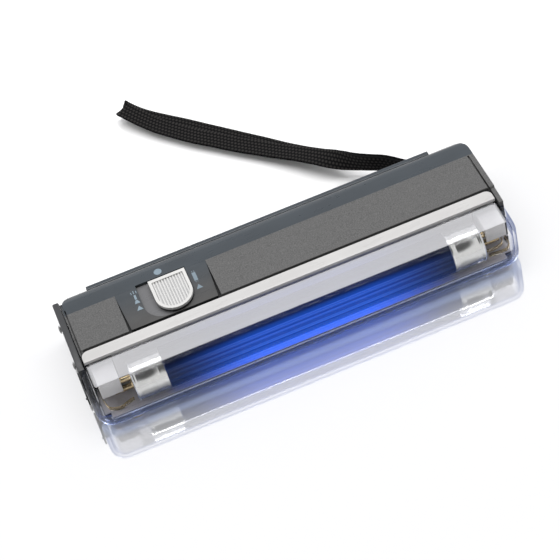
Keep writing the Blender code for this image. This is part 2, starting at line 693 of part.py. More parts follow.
def make_clear_cover():
    """C-shaped clear shell over the lamp: top, front, short bottom flange and both ends."""
    cover = rounded_shell("clear_cover", 0.0, -4.0)
    cover = cut(
        cover,
        rounded_shell("hollow", COVER_WALL, 0.0, CUTTERS),
        cutter((-90.0, -11.4, -1.0), (90.0, 5.0, 30.0)),
        cutter((-90.0, -20.3, -1.0), (90.0, 5.0, 10.0)),
        cutter((-90.0, -12.9, -1.0), (-79.3, 5.0, 30.0)),
        cutter((80.5, -12.9, -1.0), (90.0, 5.0, 30.0)),
    )
    for i in range(3):
        rib = rod("rib", "X", (-73.0, FRONT + COVER_WALL, 4.4 + 1.5 * i), 0.32, 148.0, 6, CUTTERS)
        cover = add(cover, rib)
    for x in (-68.3, 68.8):
        cover = cut(cover, cutter((x - 1.6, -24.6, -0.5), (x + 1.6, -22.6, 2.0)))
    hang("cover_travel", (0.0, -11.4, 10.4), cover)
    return dress(cover, "clear")


# ---------------------------------------------------------------- switch


def make_switch():
    """Sliding knob with its finger ridges, the stem that it drives and the switch under the panel."""
    centre = SWITCH_X + KNOB_STEP
    knob = plate("switch_knob", knob_outline(), *KNOB_Z)
    knob = cut(knob, plate("dish", dish_outline(centre), 20.9, 24.0, home=CUTTERS))
    for i in range(11):
        x = centre + (i - 5) * 1.08
        reach = KNOB_ARC_Y - math.sqrt(KNOB_HALF ** 2 - (x - centre) ** 2)
        knob = add(knob, cutter((x - 0.26, reach + 0.6, 20.6), (x + 0.26, KNOB_REAR_Y - 0.8, 21.25)))
    pocket = cutter((centre - 1.9, SWITCH_Y - 1.9, 18.0), (centre + 1.9, SWITCH_Y + 1.9, 20.3))
    knob = dress(cut(knob, pocket), "ivory")
    low, high = (centre - 1.5, SWITCH_Y - 1.5, 14.6), (centre + 1.5, SWITCH_Y + 1.5, 20.0)
    stem = box("switch_slider", low, high, 0.2)
    wiper = cutter((centre - 2.4, SWITCH_Y - 2.1, 13.6), (centre + 2.4, SWITCH_Y + 2.1, 14.8))
    stem = dress(add(stem, wiper), "white")
    hang("switch_travel", (SWITCH_X, SWITCH_Y, KNOB_Z[0]), knob, stem)
    low, high = (SWITCH_X - 6.1, SWITCH_Y - 3.4, 11.0), (SWITCH_X + 6.1, SWITCH_Y + 3.4, 17.2)
    body = box("switch_body", low, high, 0.25)
    body = cut(
        body,
        cutter((SWITCH_X - 4.1, SWITCH_Y - 1.9, 14.0), (SWITCH_X + 4.1, SWITCH_Y + 1.9, 20.0)),
        cutter((SWITCH_X - 5.0, SWITCH_Y - 2.5, 13.2), (SWITCH_X + 5.0, SWITCH_Y + 2.5, 15.2)),
    )
    for x in (SWITCH_X - 4.4, SWITCH_X, SWITCH_X + 4.4):
        body = add(body, cutter((x - 0.4, SWITCH_Y - 0.3, 4.9), (x + 0.4, SWITCH_Y + 0.3, 12.0)))
    dress(body, "silver")


def dish_outline(centre):
    """The hollow of the knob's top, 1.2 mm inside its edge."""
    radius = KNOB_HALF - 1.1
    rear = KNOB_REAR_Y - 1.3
    return [(centre - radius, rear), (centre + radius, rear)] + arc(centre, KNOB_ARC_Y, radius, 0, -180, 14)


# ---------------------------------------------------------------- electrics


def make_board():
    """Inverter board with its transformer, transistor and capacitors."""
    dress(box("circuit_board", (-65.6, -4.4, 3.4), (-36.2, 23.2, 4.6)), "board")
    core = box("transformer_core", (-63.6, 12.0, 4.9), (-51.6, 21.0, 14.6), 0.25)
    core = cut(core, cutter((-61.4, 11.0, 7.0), (-53.8, 22.0, 12.5)))
    dress(core, "ferrite")
    dress(box("transformer_coil", (-61.1, 12.8, 7.3), (-54.1, 20.2, 12.2), 0.8), "tape")
    body = box("transistor", (-48.6, 14.0, 7.6), (-40.8, 16.8, 15.6), 0.3)
    for i in range(3):
        x = -47.0 + 2.3 * i
        body = add(body, cutter((x - 0.35, 15.0, 4.9), (x + 0.35, 15.7, 8.0)))
    dress(body, "black")
    can = [(0.0, 0.0), (2.6, 0.0), (3.0, -0.4), (3.0, -7.6), (2.8, -7.9), (2.8, -8.3), (3.0, -8.6)]
    can += [(3.0, -9.0), (0.0, -9.0)]
    dress(turned("electrolytic_capacitor", can, (-60.6, 1.0, 13.9), "Z", 24), "cell")
    dress(box("film_capacitor", (-54.6, -1.6, 4.9), (-47.2, 1.6, 10.6), 0.5), "red")


def make_cells():
    """Four AA cells, nose to tail in two rows that face opposite ways."""
    nose, shoulder = 2.75, 1.4
    profile = [
        (0.0, 0.0), (nose - 0.3, 0.0), (nose, -0.3), (nose, -shoulder), (CELL_R - 0.7, -shoulder - 0.2),
        (CELL_R, -shoulder - 0.9), (CELL_R, 0.5 - CELL_LENGTH), (CELL_R - 0.5, GAP - CELL_LENGTH),
        (0.0, GAP - CELL_LENGTH),
    ]
    for row, y in enumerate(CELL_ROWS_Y):
        for column in range(2):
            name = f"aa_cell_{row * 2 + column + 1}"
            left = CELLS_X + column * CELL_LENGTH
            made = turned(name, profile, (left + CELL_LENGTH, y, CELL_Z), "X", 24)
            if row:
                flip(made, left + CELL_LENGTH / 2)
            dress(made, "cell")


def coil(name, x, y, way):
    """A conical contact spring, squeezed between its plate and the flat end of a cell."""
    turns, count, length = 3, 9, 2.1
    points = []
    for i in range(turns * count + 1):
        t = i / (turns * count)
        angle = 2 * math.pi * i / count
        radius = 4.2 - 1.8 * t
        points.append((x + way * length * t, y + radius * math.cos(angle), CELL_Z + radius * math.sin(angle)))
    return dress(wire(name, points, 0.28, 1, 1), "silver")


def make_bay_contacts():
    """Plates and springs at the ends of the battery bay."""
    left, right = BAY_X
    for row, y in enumerate(CELL_ROWS_Y):
        name = ("contact_plate_negative", "contact_plate_positive")[row]
        dress(box(name, (left + GAP, y - 5.0, 3.2), (left + GAP + 0.35, y + 5.0, 14.6)), "silver")
    dress(box("contact_bridge", (right - GAP - 0.35, -2.6, 3.2), (right - GAP, 20.8, 14.6)), "silver")
    coil("battery_spring_left", left + 1.2, CELL_ROWS_Y[0], 0.6)
    coil("battery_spring_right", right - 1.2, CELL_ROWS_Y[1], -0.6)


def make_wires():
    """Leads from the bay, the torch and the lamp holders to the board."""
    routes = {
        "lead_battery_red": ("red", [
            (-36.1, 13.0, 6.4), (-38.6, 12.4, 7.8), (-42.0, 11.0, 7.0), (-44.4, 10.2, 5.5),
        ]),
        "lead_battery_black": ("black", [
            (-36.1, 9.4, 6.4), (-40.0, 9.0, 8.0), (-46.0, 8.4, 7.6), (-49.6, 7.0, 5.5),
        ]),
        "lead_torch": ("red", [
            (-65.6, 4.6, 8.2), (-64.4, 5.0, 8.6), (-60.6, 6.6, 7.2), (-57.0, 7.6, 5.5),
        ]),
        "lead_lamp_left": ("black", [
            (-71.0, -8.9, 3.7), (-70.0, -8.9, 3.7), (-69.4, -8.6, 3.7), (-69.1, -7.6, 3.7),
            (-69.2, -6.2, 3.7), (-69.4, -4.4, 4.4), (-67.8, -2.8, 5.6), (-65.0, -2.6, 5.6),
        ]),
        "lead_lamp_right": ("black", [
            (-63.4, -3.6, 5.6), (-65.6, -4.4, 5.4), (-67.2, -5.4, 4.2), (-67.3, -6.9, 3.6),
            (-66.2, -7.8, 3.3), (-63.6, -7.95, 3.1), (-60.0, -7.95, 3.1), (0.0, -7.95, 3.1),
            (64.0, -7.95, 3.1), (67.6, -7.95, 3.2), (70.0, -8.1, 3.5), (71.8, -8.8, 3.7),
            (73.2, -8.9, 3.7),
        ]),
    }
    for name, (colour, points) in routes.items():
        dress(wire(name, points, 0.45, 1, 3), colour)


def make_screws():
    """Self-tapping screws that hold the two halves together from below."""
    for i, (x, y) in enumerate(SCREW_XY):
        low = 0.9 if i < 2 else 2.9
        seat = low + 1.2
        profile = [(0.0, 16.2), (0.6, 16.2), (1.1, 15.4), (1.1, seat), (2.2, seat)]
        profile += [(2.2, low + 0.3), (0.8, low), (0.0, low)]
        dress(turned(f"housing_screw_{i + 1}", profile, (x, y, 0.0), "Z", 16), "silver")


# ---------------------------------------------------------------- wrist strap


def strap_spine():
    """The middle line between the strap's two legs, from the slot to the fold: x, y, z, twist and spread."""
    return [
        (77.1, 22.6, 7.0, 90, 0.0), (77.0, 26.8, 6.9, 90, 0.0), (75.2, 29.8, 6.6, 90, 0.5),
        (71.0, 31.4, 6.2, 90, 1.0), (66.0, 32.0, 6.2, 90, 1.4), (61.4, 33.4, 6.8, 90, 1.4),
        (58.1, 35.8, 7.7, 90, 1.4), (54.8, 38.4, 8.3, 90, 1.4), (50.6, 41.1, 8.4, 90, 1.4),
        (46.8, 44.1, 7.9, 86, 1.4), (43.6, 47.0, 7.3, 72, 1.6), (40.4, 50.3, 6.6, 46, 1.8),
        (37.4, 53.7, 5.9, 22, 2.0), (34.4, 57.2, 5.2, 8, 2.2), (28.7, 63.9, 3.8, 0, 2.7),
        (22.5, 70.6, 2.8, 0, 3.4), (16.3, 77.2, 2.3, 0, 4.3), (9.9, 83.6, 2.1, 0, 5.0),
        (3.7, 89.9, 2.1, 0, 5.3), (-2.8, 96.4, 2.1, 0, 5.7), (-9.1, 103.1, 2.2, 0, 5.5),
        (-15.5, 109.8, 2.5, 0, 4.6), (-20.1, 115.0, 3.0, 0, 3.2), (-24.2, 120.2, 3.7, 0, 2.2),
    ]


def strap_leg(side):
    """One leg's centre points and width directions: side is 1 for the upper leg and -1 for the lower."""
    spine = strap_spine()
    places = [Vector(p[:3]) for p in spine]
    leg = []
    for i, (_, _, _, twist, spread) in enumerate(spine):
        along = places[min(i + 1, len(spine) - 1)] - places[max(i - 1, 0)]
        across = along.cross(Vector((0, 0, 1))).normalized()
        up = across.cross(along).normalized()
        a = math.radians(twist)
        width = across * math.cos(a) + up * math.sin(a)
        face = up * math.cos(a) - across * math.sin(a)
        apart = min(1.2, 0.9 + 0.1 * i)
        shift = spread / 2 * (math.sin(a) - math.cos(a))
        leg.append((places[i] + side * (face * apart + width * shift), width))
    return leg


def make_strap():
    """Flat tape, made as a loft of one rounded section out along a leg, over the fold and back."""
    upper, lower = strap_leg(1), strap_leg(-1)
    fold_top, width = upper[-1]
    fold_bottom = lower[-1][0]
    ahead = (fold_top - upper[-2][0]).normalized()
    middle = (fold_top + fold_bottom) / 2
    over = [
        (fold_top * 0.8 + fold_bottom * 0.2 + ahead * 3.2, width),
        (middle + ahead * 4.1, width),
        (fold_top * 0.2 + fold_bottom * 0.8 + ahead * 3.2, width),
    ]
    keys = upper + over + list(reversed(lower))
    route = smooth_route([place for place, _ in keys], 2)
    widths = [side for _, side in keys for _ in range(2)]
    widths[1:-1:2] = [a + b for a, b in zip(widths[:-2:2], widths[2::2])]
    widths.pop()
    half_u, half_v = STRAP_WIDTH / 2, STRAP_THICKNESS / 2
    section = [
        (-half_u, -0.25), (0.25 - half_u, -half_v), (half_u - 0.25, -half_v), (half_u, -0.25), (half_u, 0.25),
        (half_u - 0.25, half_v), (0.25 - half_u, half_v), (-half_u, 0.25),
    ]
    bm = bmesh.new()
    rings = []
    for i, place in enumerate(route):
        along = (route[min(i + 1, len(route) - 1)] - route[max(i - 1, 0)]).normalized()
        across = (widths[i] - along * widths[i].dot(along)).normalized()
        face = across.cross(along)
        rings.append([bm.verts.new((place + across * u + face * v) * MM) for u, v in section])
    for first, second in zip(rings, rings[1:]):
        for k in range(len(section)):
            j = (k + 1) % len(section)
            bm.faces.new((first[k], first[j], second[j], second[k]))
    bm.faces.new(rings[0])
    bm.faces.new(reversed(rings[-1]))
    return dress(smooth(from_bmesh(bm, "wrist_strap")), "strap")


def make_strap_anchor():
    """Toggle bar inside the slot, which the strap's sewn ends are tied to."""
    low, high = SLOT_X[0] - 0.6, SLOT_X[1] + 0.6
    toggle = box("strap_toggle", (low, 19.2, SLOT_Z[0] + 1.0), (high, 21.6, SLOT_Z[1] - 1.0), 0.4)
    return dress(toggle, "black")


make_top_cover()
make_bottom_shell()
make_battery_door()
make_torch()
make_reflector_tray()
make_lamp_holders()
make_contacts()
make_lamp()
make_clear_cover()
make_switch()
make_board()
make_cells()
make_bay_contacts()
make_wires()
make_screws()
make_strap()
make_strap_anchor()
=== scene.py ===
import json
import math

import bmesh
import bpy
from mathutils import Matrix, Vector


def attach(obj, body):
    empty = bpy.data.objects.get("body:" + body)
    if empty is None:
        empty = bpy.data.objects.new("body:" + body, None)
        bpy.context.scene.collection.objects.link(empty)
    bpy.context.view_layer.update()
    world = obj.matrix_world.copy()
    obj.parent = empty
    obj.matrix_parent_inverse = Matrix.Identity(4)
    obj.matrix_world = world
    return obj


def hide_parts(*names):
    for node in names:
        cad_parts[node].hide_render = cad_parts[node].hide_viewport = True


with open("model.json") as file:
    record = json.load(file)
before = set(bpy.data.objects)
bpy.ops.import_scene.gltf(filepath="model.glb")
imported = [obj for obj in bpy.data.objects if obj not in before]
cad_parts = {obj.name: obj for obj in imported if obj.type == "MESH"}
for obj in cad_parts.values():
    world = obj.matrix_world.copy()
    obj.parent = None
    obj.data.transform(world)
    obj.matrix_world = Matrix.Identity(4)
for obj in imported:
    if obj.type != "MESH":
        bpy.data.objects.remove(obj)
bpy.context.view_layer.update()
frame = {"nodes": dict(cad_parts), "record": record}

# Shapes are in millimetres, and MM turns them into metres. Places in the materials are in metres,
# in the frame's own axes.
MM = 0.001
NODES = frame["nodes"]
BODIES = frame["record"]["behaviour"]["bodies"]
BODY_OF = {node: body for body, members in BODIES.items() for node in members}

# The lamp's axis, along X
LAMP_Y = -16.9
LAMP_Z = 10.6


# ---------------------------------------------------------------- node trees

# A Mix node's sockets share their names, so they go by place
FLOAT_A, FLOAT_B, FLOAT_OUT = 2, 3, 0
COLOUR_A, COLOUR_B, COLOUR_OUT = 6, 7, 2


class Tree:
    """A node tree with one main shader and short calls for the nodes that feed it."""

    def __init__(self, tree, main="ShaderNodeBsdfPrincipled"):
        tree.nodes.clear()
        self.tree = tree
        self.main = self.node(main)
        kind = "ShaderNodeOutputWorld" if main == "ShaderNodeBackground" else "ShaderNodeOutputMaterial"
        out = self.node(kind)
        tree.links.new(self.main.outputs[0], out.inputs["Surface"])
        self.place = None

    def node(self, kind, **settings):
        made = self.tree.nodes.new(kind)
        for key, value in settings.items():
            setattr(made, key, value)
        return made

    def put(self, socket, value):
        """Feeds a socket from another socket, a number or a colour."""
        if isinstance(value, bpy.types.NodeSocket):
            self.tree.links.new(value, socket)
        elif isinstance(value, (tuple, list)) and len(value) == 3 and socket.type == "RGBA":
            socket.default_value = (*value, 1.0)
        else:
            socket.default_value = value

    def coords(self):
        """Position in metres in the frame's own axes."""
        if self.place is None:
            self.place = self.node("ShaderNodeTexCoord").outputs["Object"]
        return self.place

    def xyz(self, vector=None):
        split = self.node("ShaderNodeSeparateXYZ")
        self.put(split.inputs[0], self.coords() if vector is None else vector)
        return split.outputs

    def math(self, operation, first, second=0.0):
        made = self.node("ShaderNodeMath", operation=operation)
        self.put(made.inputs[0], first)
        self.put(made.inputs[1], second)
        return made.outputs[0]

    def plus(self, first, second):
        return self.math("ADD", first, second)

    def minus(self, first, second):
        return self.math("SUBTRACT", first, second)

    def times(self, first, *others):
        for other in others:
            first = self.math("MULTIPLY", first, other)
        return first

    def smooth(self, value, start, stop, low=0.0, high=1.0):
        """Smooth change from low at start to high at stop."""
        made = self.node("ShaderNodeMapRange", interpolation_type="SMOOTHSTEP")
        for socket, given in zip(made.inputs, (value, start, stop, low, high)):
            self.put(socket, given)
        return made.outputs[0]

    def falling(self, value, start, stop):
        """Smooth change from 1 at start to 0 at stop."""
        return self.smooth(value, start, stop, 1.0, 0.0)

    def mix(self, factor, first, second):
        made = self.node("ShaderNodeMix", data_type="RGBA")
        self.put(made.inputs["Factor"], factor)
        self.put(made.inputs[COLOUR_A], first)
        self.put(made.inputs[COLOUR_B], second)
        return made.outputs[COLOUR_OUT]

    def mix_number(self, factor, first, second):
        made = self.node("ShaderNodeMix", data_type="FLOAT")
        self.put(made.inputs["Factor"], factor)
        self.put(made.inputs[FLOAT_A], first)
        self.put(made.inputs[FLOAT_B], second)
        return made.outputs[FLOAT_OUT]

    def noise(self, scale, detail=3.0, roughness=0.5, stretch=(1.0, 1.0, 1.0)):
        mapping = self.node("ShaderNodeMapping")
        self.put(mapping.inputs["Vector"], self.coords())
        mapping.inputs["Scale"].default_value = stretch
        made = self.node("ShaderNodeTexNoise")
        self.put(made.inputs["Vector"], mapping.outputs["Vector"])
        made.inputs["Scale"].default_value = scale
        made.inputs["Detail"].default_value = detail
        made.inputs["Roughness"].default_value = roughness
        return made.outputs[0]

    def surface(self, colour, height=None, depth=0.0, roughness=None, strength=1.0):
        """Feeds a Principled main node: its colour, its bump and, where it varies, its roughness."""
        self.put(self.main.inputs["Base Color"], colour)
        if roughness is not None:
            self.put(self.main.inputs["Roughness"], roughness)
        if height is not None:
            bump = self.node("ShaderNodeBump")
            bump.inputs["Strength"].default_value = strength
            bump.inputs["Distance"].default_value = depth
            self.put(bump.inputs["Height"], height)
            self.put(self.main.inputs["Normal"], bump.outputs[0])

    def blend(self, factor, first, second):
        """Feeds a Mix Shader main node with two shaders."""
        self.put(self.main.inputs[0], factor)
        self.tree.links.new(first.outputs[0], self.main.inputs[1])
        self.tree.links.new(second.outputs[0], self.main.inputs[2])


def material(name, main="ShaderNodeBsdfPrincipled"):
    made = bpy.data.materials.new(name)
    made.use_nodes = True
    return made, Tree(made.node_tree, main)


def setup(t, roughness, metallic=0.0, ior=1.5, coat=0.0, specular=0.5):
    """Settings that are the same all over a surface."""
    t.main.inputs["Roughness"].default_value = roughness
    t.main.inputs["Metallic"].default_value = metallic
    t.main.inputs["IOR"].default_value = ior
    t.main.inputs["Coat Weight"].default_value = coat
    t.main.inputs["Specular IOR Level"].default_value = specular


# ---------------------------------------------------------------- camera, light and floor

LENS = 134.9
CAMERA_TARGET = (-0.00158, 0.00082, 0.011)
CAMERA_DISTANCE = 0.76739
CAMERA_AZIMUTH = -8.348
CAMERA_ELEVATION = 48.568
CAMERA_ROLL = -15.591

SOFTBOX_PLACE = (0.05, 0.22, 0.90)
SOFTBOX_TARGET = (0.05, 0.22, 0.0)
SOFTBOX_SIZE = (1.20, 0.26)
SOFTBOX_RADIANCE = 7.6

WORLD_WHITE = (0.80, 0.80, 0.79)
WORLD_REAR = (1.10, 1.10, 1.12)
WORLD_DARK = (0.10, 0.10, 0.10)
DARK_PANEL_WAY = (-0.08, -0.52, 0.85)
DARK_PANEL_EDGE = (0.80, 0.95)
REAR_WALL_EDGE = (0.05, 0.35)

FLOOR_REACH = 3.0
FLOOR_WHITE = (0.97, 0.97, 0.97)
FLOOR_SHINE_FRONT = 0.72
FLOOR_SHINE_REAR = 0.08
FLOOR_SHINE_EDGE = (0.020, 0.050)


def make_camera():
    """A long lens, high in front of the lamp side and rolled to the left."""
    data = bpy.data.cameras.new("camera")
    data.sensor_width = 36.0
    data.lens = LENS
    data.clip_start = 0.05
    data.clip_end = 20.0
    camera = bpy.data.objects.new("camera", data)
    bpy.context.scene.collection.objects.link(camera)
    turn = (
        Matrix.Rotation(math.radians(CAMERA_AZIMUTH), 4, "Z")
        @ Matrix.Rotation(math.radians(90.0 - CAMERA_ELEVATION), 4, "X")
        @ Matrix.Rotation(math.radians(CAMERA_ROLL), 4, "Z")
    )
    away = Matrix.Translation((0.0, 0.0, CAMERA_DISTANCE))
    camera.matrix_world = Matrix.Translation(CAMERA_TARGET) @ turn @ away
    bpy.context.scene.camera = camera


def make_softbox():
    """A long soft lamp overhead, set by how bright its face is."""
    width, depth = SOFTBOX_SIZE
    data = bpy.data.lights.new("overhead", "AREA")
    data.shape = "RECTANGLE"
    data.size = width
    data.size_y = depth
    data.energy = SOFTBOX_RADIANCE * math.pi * width * depth
    lamp = bpy.data.objects.new("overhead", data)
    bpy.context.scene.collection.objects.link(lamp)
    way = (Vector(SOFTBOX_TARGET) - Vector(SOFTBOX_PLACE)).normalized()
    turn = way.to_track_quat("-Z", "Y").to_matrix().to_4x4()
    lamp.matrix_world = Matrix.Translation(SOFTBOX_PLACE) @ turn


def make_world():
    """White tent with a dim panel high at the front and a cool rear wall."""
    world = bpy.data.worlds.new("studio")
    world.use_nodes = True
    bpy.context.scene.world = world
    t = Tree(world.node_tree, "ShaderNodeBackground")
    way = t.node("ShaderNodeTexCoord").outputs["Generated"]
    facing = t.node("ShaderNodeVectorMath", operation="DOT_PRODUCT")
    t.put(facing.inputs[0], way)
    facing.inputs[1].default_value = DARK_PANEL_WAY
    dark = t.smooth(facing.outputs["Value"], *DARK_PANEL_EDGE)
    _, y, _ = t.xyz(way)
    colour = t.mix(t.smooth(y, *REAR_WALL_EDGE), WORLD_WHITE, WORLD_REAR)
    t.put(t.main.inputs["Color"], t.mix(dark, colour, WORLD_DARK))
    t.main.inputs["Strength"].default_value = 1.0


def make_floor():
    """White acrylic that is glossy in front of the object and nearly matt behind it."""
    mesh = bpy.data.meshes.new("floor")
    signs = ((-1, -1), (1, -1), (1, 1), (-1, 1))
    mesh.from_pydata([(FLOOR_REACH * x, FLOOR_REACH * y, 0) for x, y in signs], [], [(0, 1, 2, 3)])
    floor = new_object("floor", mesh)
    made, t = material("white_acrylic", "ShaderNodeMixShader")
    matt = t.node("ShaderNodeBsdfDiffuse")
    t.put(matt.inputs["Color"], FLOOR_WHITE)
    shine = t.node("ShaderNodeBsdfGlossy")
    shine.inputs["Roughness"].default_value = 0.05
    _, y, _ = t.xyz()
    t.blend(t.smooth(y, *FLOOR_SHINE_EDGE, FLOOR_SHINE_FRONT, FLOOR_SHINE_REAR), matt, shine)
    floor.data.materials.append(made)


# ---------------------------------------------------------------- plain materials


def plastic(name, colour, roughness, grain=900.0, depth=0.00003, wear=0.12, coat=0.0):
    """Moulded plastic: slight colour drift, a fine moulded grain and uneven gloss."""
    made, t = material(name)
    setup(t, roughness, coat=coat)
    pale = tuple(min(1.0, c * (1 + wear) + 0.01) for c in colour)
    drift = t.smooth(t.noise(45.0, 4.0), 0.35, 0.7)
    smears = t.noise(130.0, 5.0, 0.6, (1.0, 3.0, 1.0))
    gloss = t.smooth(smears, 0.3, 0.75, roughness * 0.85, min(1.0, roughness * 1.2))
    t.surface(t.mix(drift, colour, pale), t.noise(grain, 3.0, 0.6), depth, gloss)
    return made


def metal(name, colour, roughness, stretch=(1.0, 1.0, 1.0), scale=600.0, depth=0.00001, stain=0.15):
    """Plated or rolled metal: fine drawn lines, dull patches and a slight tarnish."""
    made, t = material(name)
    setup(t, roughness, metallic=1.0)
    dull = tuple(c * (1 - stain) for c in colour)
    patches = t.smooth(t.noise(160.0, 5.0, 0.6), 0.4, 0.7)
    lines = t.noise(scale, 4.0, 0.6, stretch)
    gloss = t.smooth(lines, 0.3, 0.7, roughness * 0.75, roughness * 1.3)
    t.surface(t.mix(patches, colour, dull), lines, depth, gloss)
    return made


# ---------------------------------------------------------------- housing materials

SHELL = (0.030, 0.038, 0.046)
SHELL_PALE = tuple(c * 1.12 for c in SHELL)
PANEL_WARM = (0.052, 0.051, 0.050)
WELL_GREY = (0.13, 0.13, 0.135)
# Painted shade: the switch well's walls are painted near black
WELL_WALL_SHADE = (0.006, 0.006, 0.007)
# Painted shade: the grooves and the trench round the switch panel are painted near black
GROOVE_SHADE = (0.004, 0.004, 0.005)
PAD_DARK = (0.052, 0.052, 0.052)
PAD_LIGHT = (0.116, 0.115, 0.114)

# Where the top cover's looks change: pairs of heights, depths or lengths, in metres
FACE_Z = (0.0188, 0.0192)
PAD_REAR_Y = (0.01490, 0.01505)
LEFT_PAD_END_X = (-0.0599, -0.0597)
RIGHT_PAD_START_X = (-0.0243, -0.0241)
PANEL_FADE_Y = (0.016, -0.003)
WELL_FLOOR_Z = ((0.01910, 0.01925), (0.01935, 0.01940))
WELL_WALL_Z = ((0.01936, 0.01940), (0.01970, 0.01976))
GROOVE_Z = ((0.0160, 0.0165), (0.0187, 0.0190))
GROOVE_REAR_Y = (0.0150, 0.0160)

# The pale lining on the base's shelf under the lamp
LINING = (0.60, 0.58, 0.60)
LINING_REAR_Y = (-0.0075, -0.0070)
LINING_Z = ((0.0017, 0.0020), (0.0025, 0.0030))


def housing_plastic():
    """Charcoal shell: spark-eroded pads, smooth glossy facet and edges; the switch well's walls and the
    grooves and trench round the switch panel are painted near black as painted shade.
    """
    made, t = material("charcoal_shell")
    setup(t, 0.35, specular=0.4)
    x, y, z = t.xyz()
    top = t.smooth(z, *FACE_Z)
    sides = t.plus(t.falling(x, *LEFT_PAD_END_X), t.smooth(x, *RIGHT_PAD_START_X))
    pads = t.times(top, t.falling(y, *PAD_REAR_Y), sides)
    cloud = t.smooth(t.noise(60.0, 3.0), 0.35, 0.65)
    front = t.times(t.smooth(y, *PANEL_FADE_Y), top)
    colour = t.mix(front, t.mix(cloud, SHELL, SHELL_PALE), PANEL_WARM)
    # The well's floor is painted grey, and its walls near black as painted shade
    for (low, high), paint in ((WELL_FLOOR_Z, WELL_GREY), (WELL_WALL_Z, WELL_WALL_SHADE)):
        colour = t.mix(t.times(t.smooth(z, *low), t.falling(z, *high)), colour, paint)
    # Painted shade: the grooves and trench, in front of the pads' rear edge, are painted near black
    low, high = GROOVE_Z
    groove = t.times(t.falling(z, *high), t.falling(y, *GROOVE_REAR_Y), t.smooth(z, *low))
    colour = t.mix(groove, colour, GROOVE_SHADE)
    speck = t.smooth(t.noise(2600.0, 2.0, 0.7), 0.3, 0.7)
    smears = t.noise(90.0, 5.0, 0.6, (1.0, 2.5, 1.0))
    gloss = t.mix_number(pads, t.smooth(smears, 0.3, 0.75, 0.26, 0.38), 0.62)
    grain = t.times(t.noise(1700.0, 2.0, 0.6), t.plus(t.times(pads, 0.95), 0.05))
    t.surface(t.mix(pads, colour, t.mix(speck, PAD_DARK, PAD_LIGHT)), grain, 0.00018, gloss)
    return made


def base_plastic():
    """Dark base moulding, with the pale lining of the lamp's shelf."""
    made, t = material("base_shell")
    setup(t, 0.42)
    _, y, z = t.xyz()
    drift = t.smooth(t.noise(45.0, 4.0), 0.35, 0.7)
    dark = t.mix(drift, (0.022, 0.023, 0.025), (0.032, 0.033, 0.036))
    low, high = LINING_Z
    lining = t.times(t.falling(y, *LINING_REAR_Y), t.smooth(z, *low), t.falling(z, *high))
    smears = t.noise(130.0, 5.0, 0.6, (1.0, 3.0, 1.0))
    gloss = t.smooth(smears, 0.3, 0.75, 0.36, 0.50)
    t.surface(t.mix(lining, dark, LINING), t.noise(1300.0, 3.0, 0.6), 0.00006, gloss)
    return made


# ---------------------------------------------------------------- knob

# Below this height the knob's skirt is painted near black: painted shade where it sits in its well
KNOB_SHADE_Z = (0.02015, 0.02075)
KNOB_GROOVE_Z = (0.02102, 0.02132)


def knob_plastic():
    """Off-white cap, painted a darker grey below its top face and near black on its skirt as painted shade.
    """
    made, t = material("ivory_moulding")
    setup(t, 0.38)
    _, _, z = t.xyz()
    drift = t.smooth(t.noise(70.0, 4.0), 0.35, 0.7)
    knob_tone = t.mix(drift, (0.56, 0.555, 0.545), (0.62, 0.615, 0.60))
    # The knob is painted a darker grey below its top face
    ridged = t.mix(t.falling(z, *KNOB_GROOVE_Z), knob_tone, (0.46, 0.46, 0.46))
    # Painted shade: the skirt is painted near black
    colour = t.mix(t.falling(z, *KNOB_SHADE_Z), ridged, (0.02, 0.02, 0.02))
    gloss = t.smooth(t.noise(200.0, 4.0), 0.3, 0.7, 0.32, 0.46)
    t.surface(colour, t.noise(900.0, 3.0), 0.00002, gloss)
    return made


# ---------------------------------------------------------------- clear cover

FACE_ON_TINT = (0.975, 0.976, 0.985)
SLANTED_TINT = (0.42, 0.47, 0.64)
# Painted shade: the cover's cut face where it meets the body is tinted dark, for the dark line along it
CUT_FACE_SHADE = (0.35, 0.36, 0.42)
# Painted light: the cover's foot is partly mirror, tinted blue, standing for the lamp's glow on it
FOOT_PAINTED_GLOW = (0.56, 0.68, 1.0)
SLANT_GLOSS = 0.26
LEAST_GLOSS = 0.004
TOP_HAZE = 0.52
FOOT_GLOW_SHARE = 0.36

# Edges of the cover's flat top, of its foot and of the face that meets the body, in metres
COVER_TOP_Z = (0.0203, 0.0206)
COVER_TOP_FRONT_Y = (-0.0223, -0.0219)
COVER_FOOT_Z = (0.0035, 0.0065)
CUT_FACE_Y = (-0.01148, -0.01142)


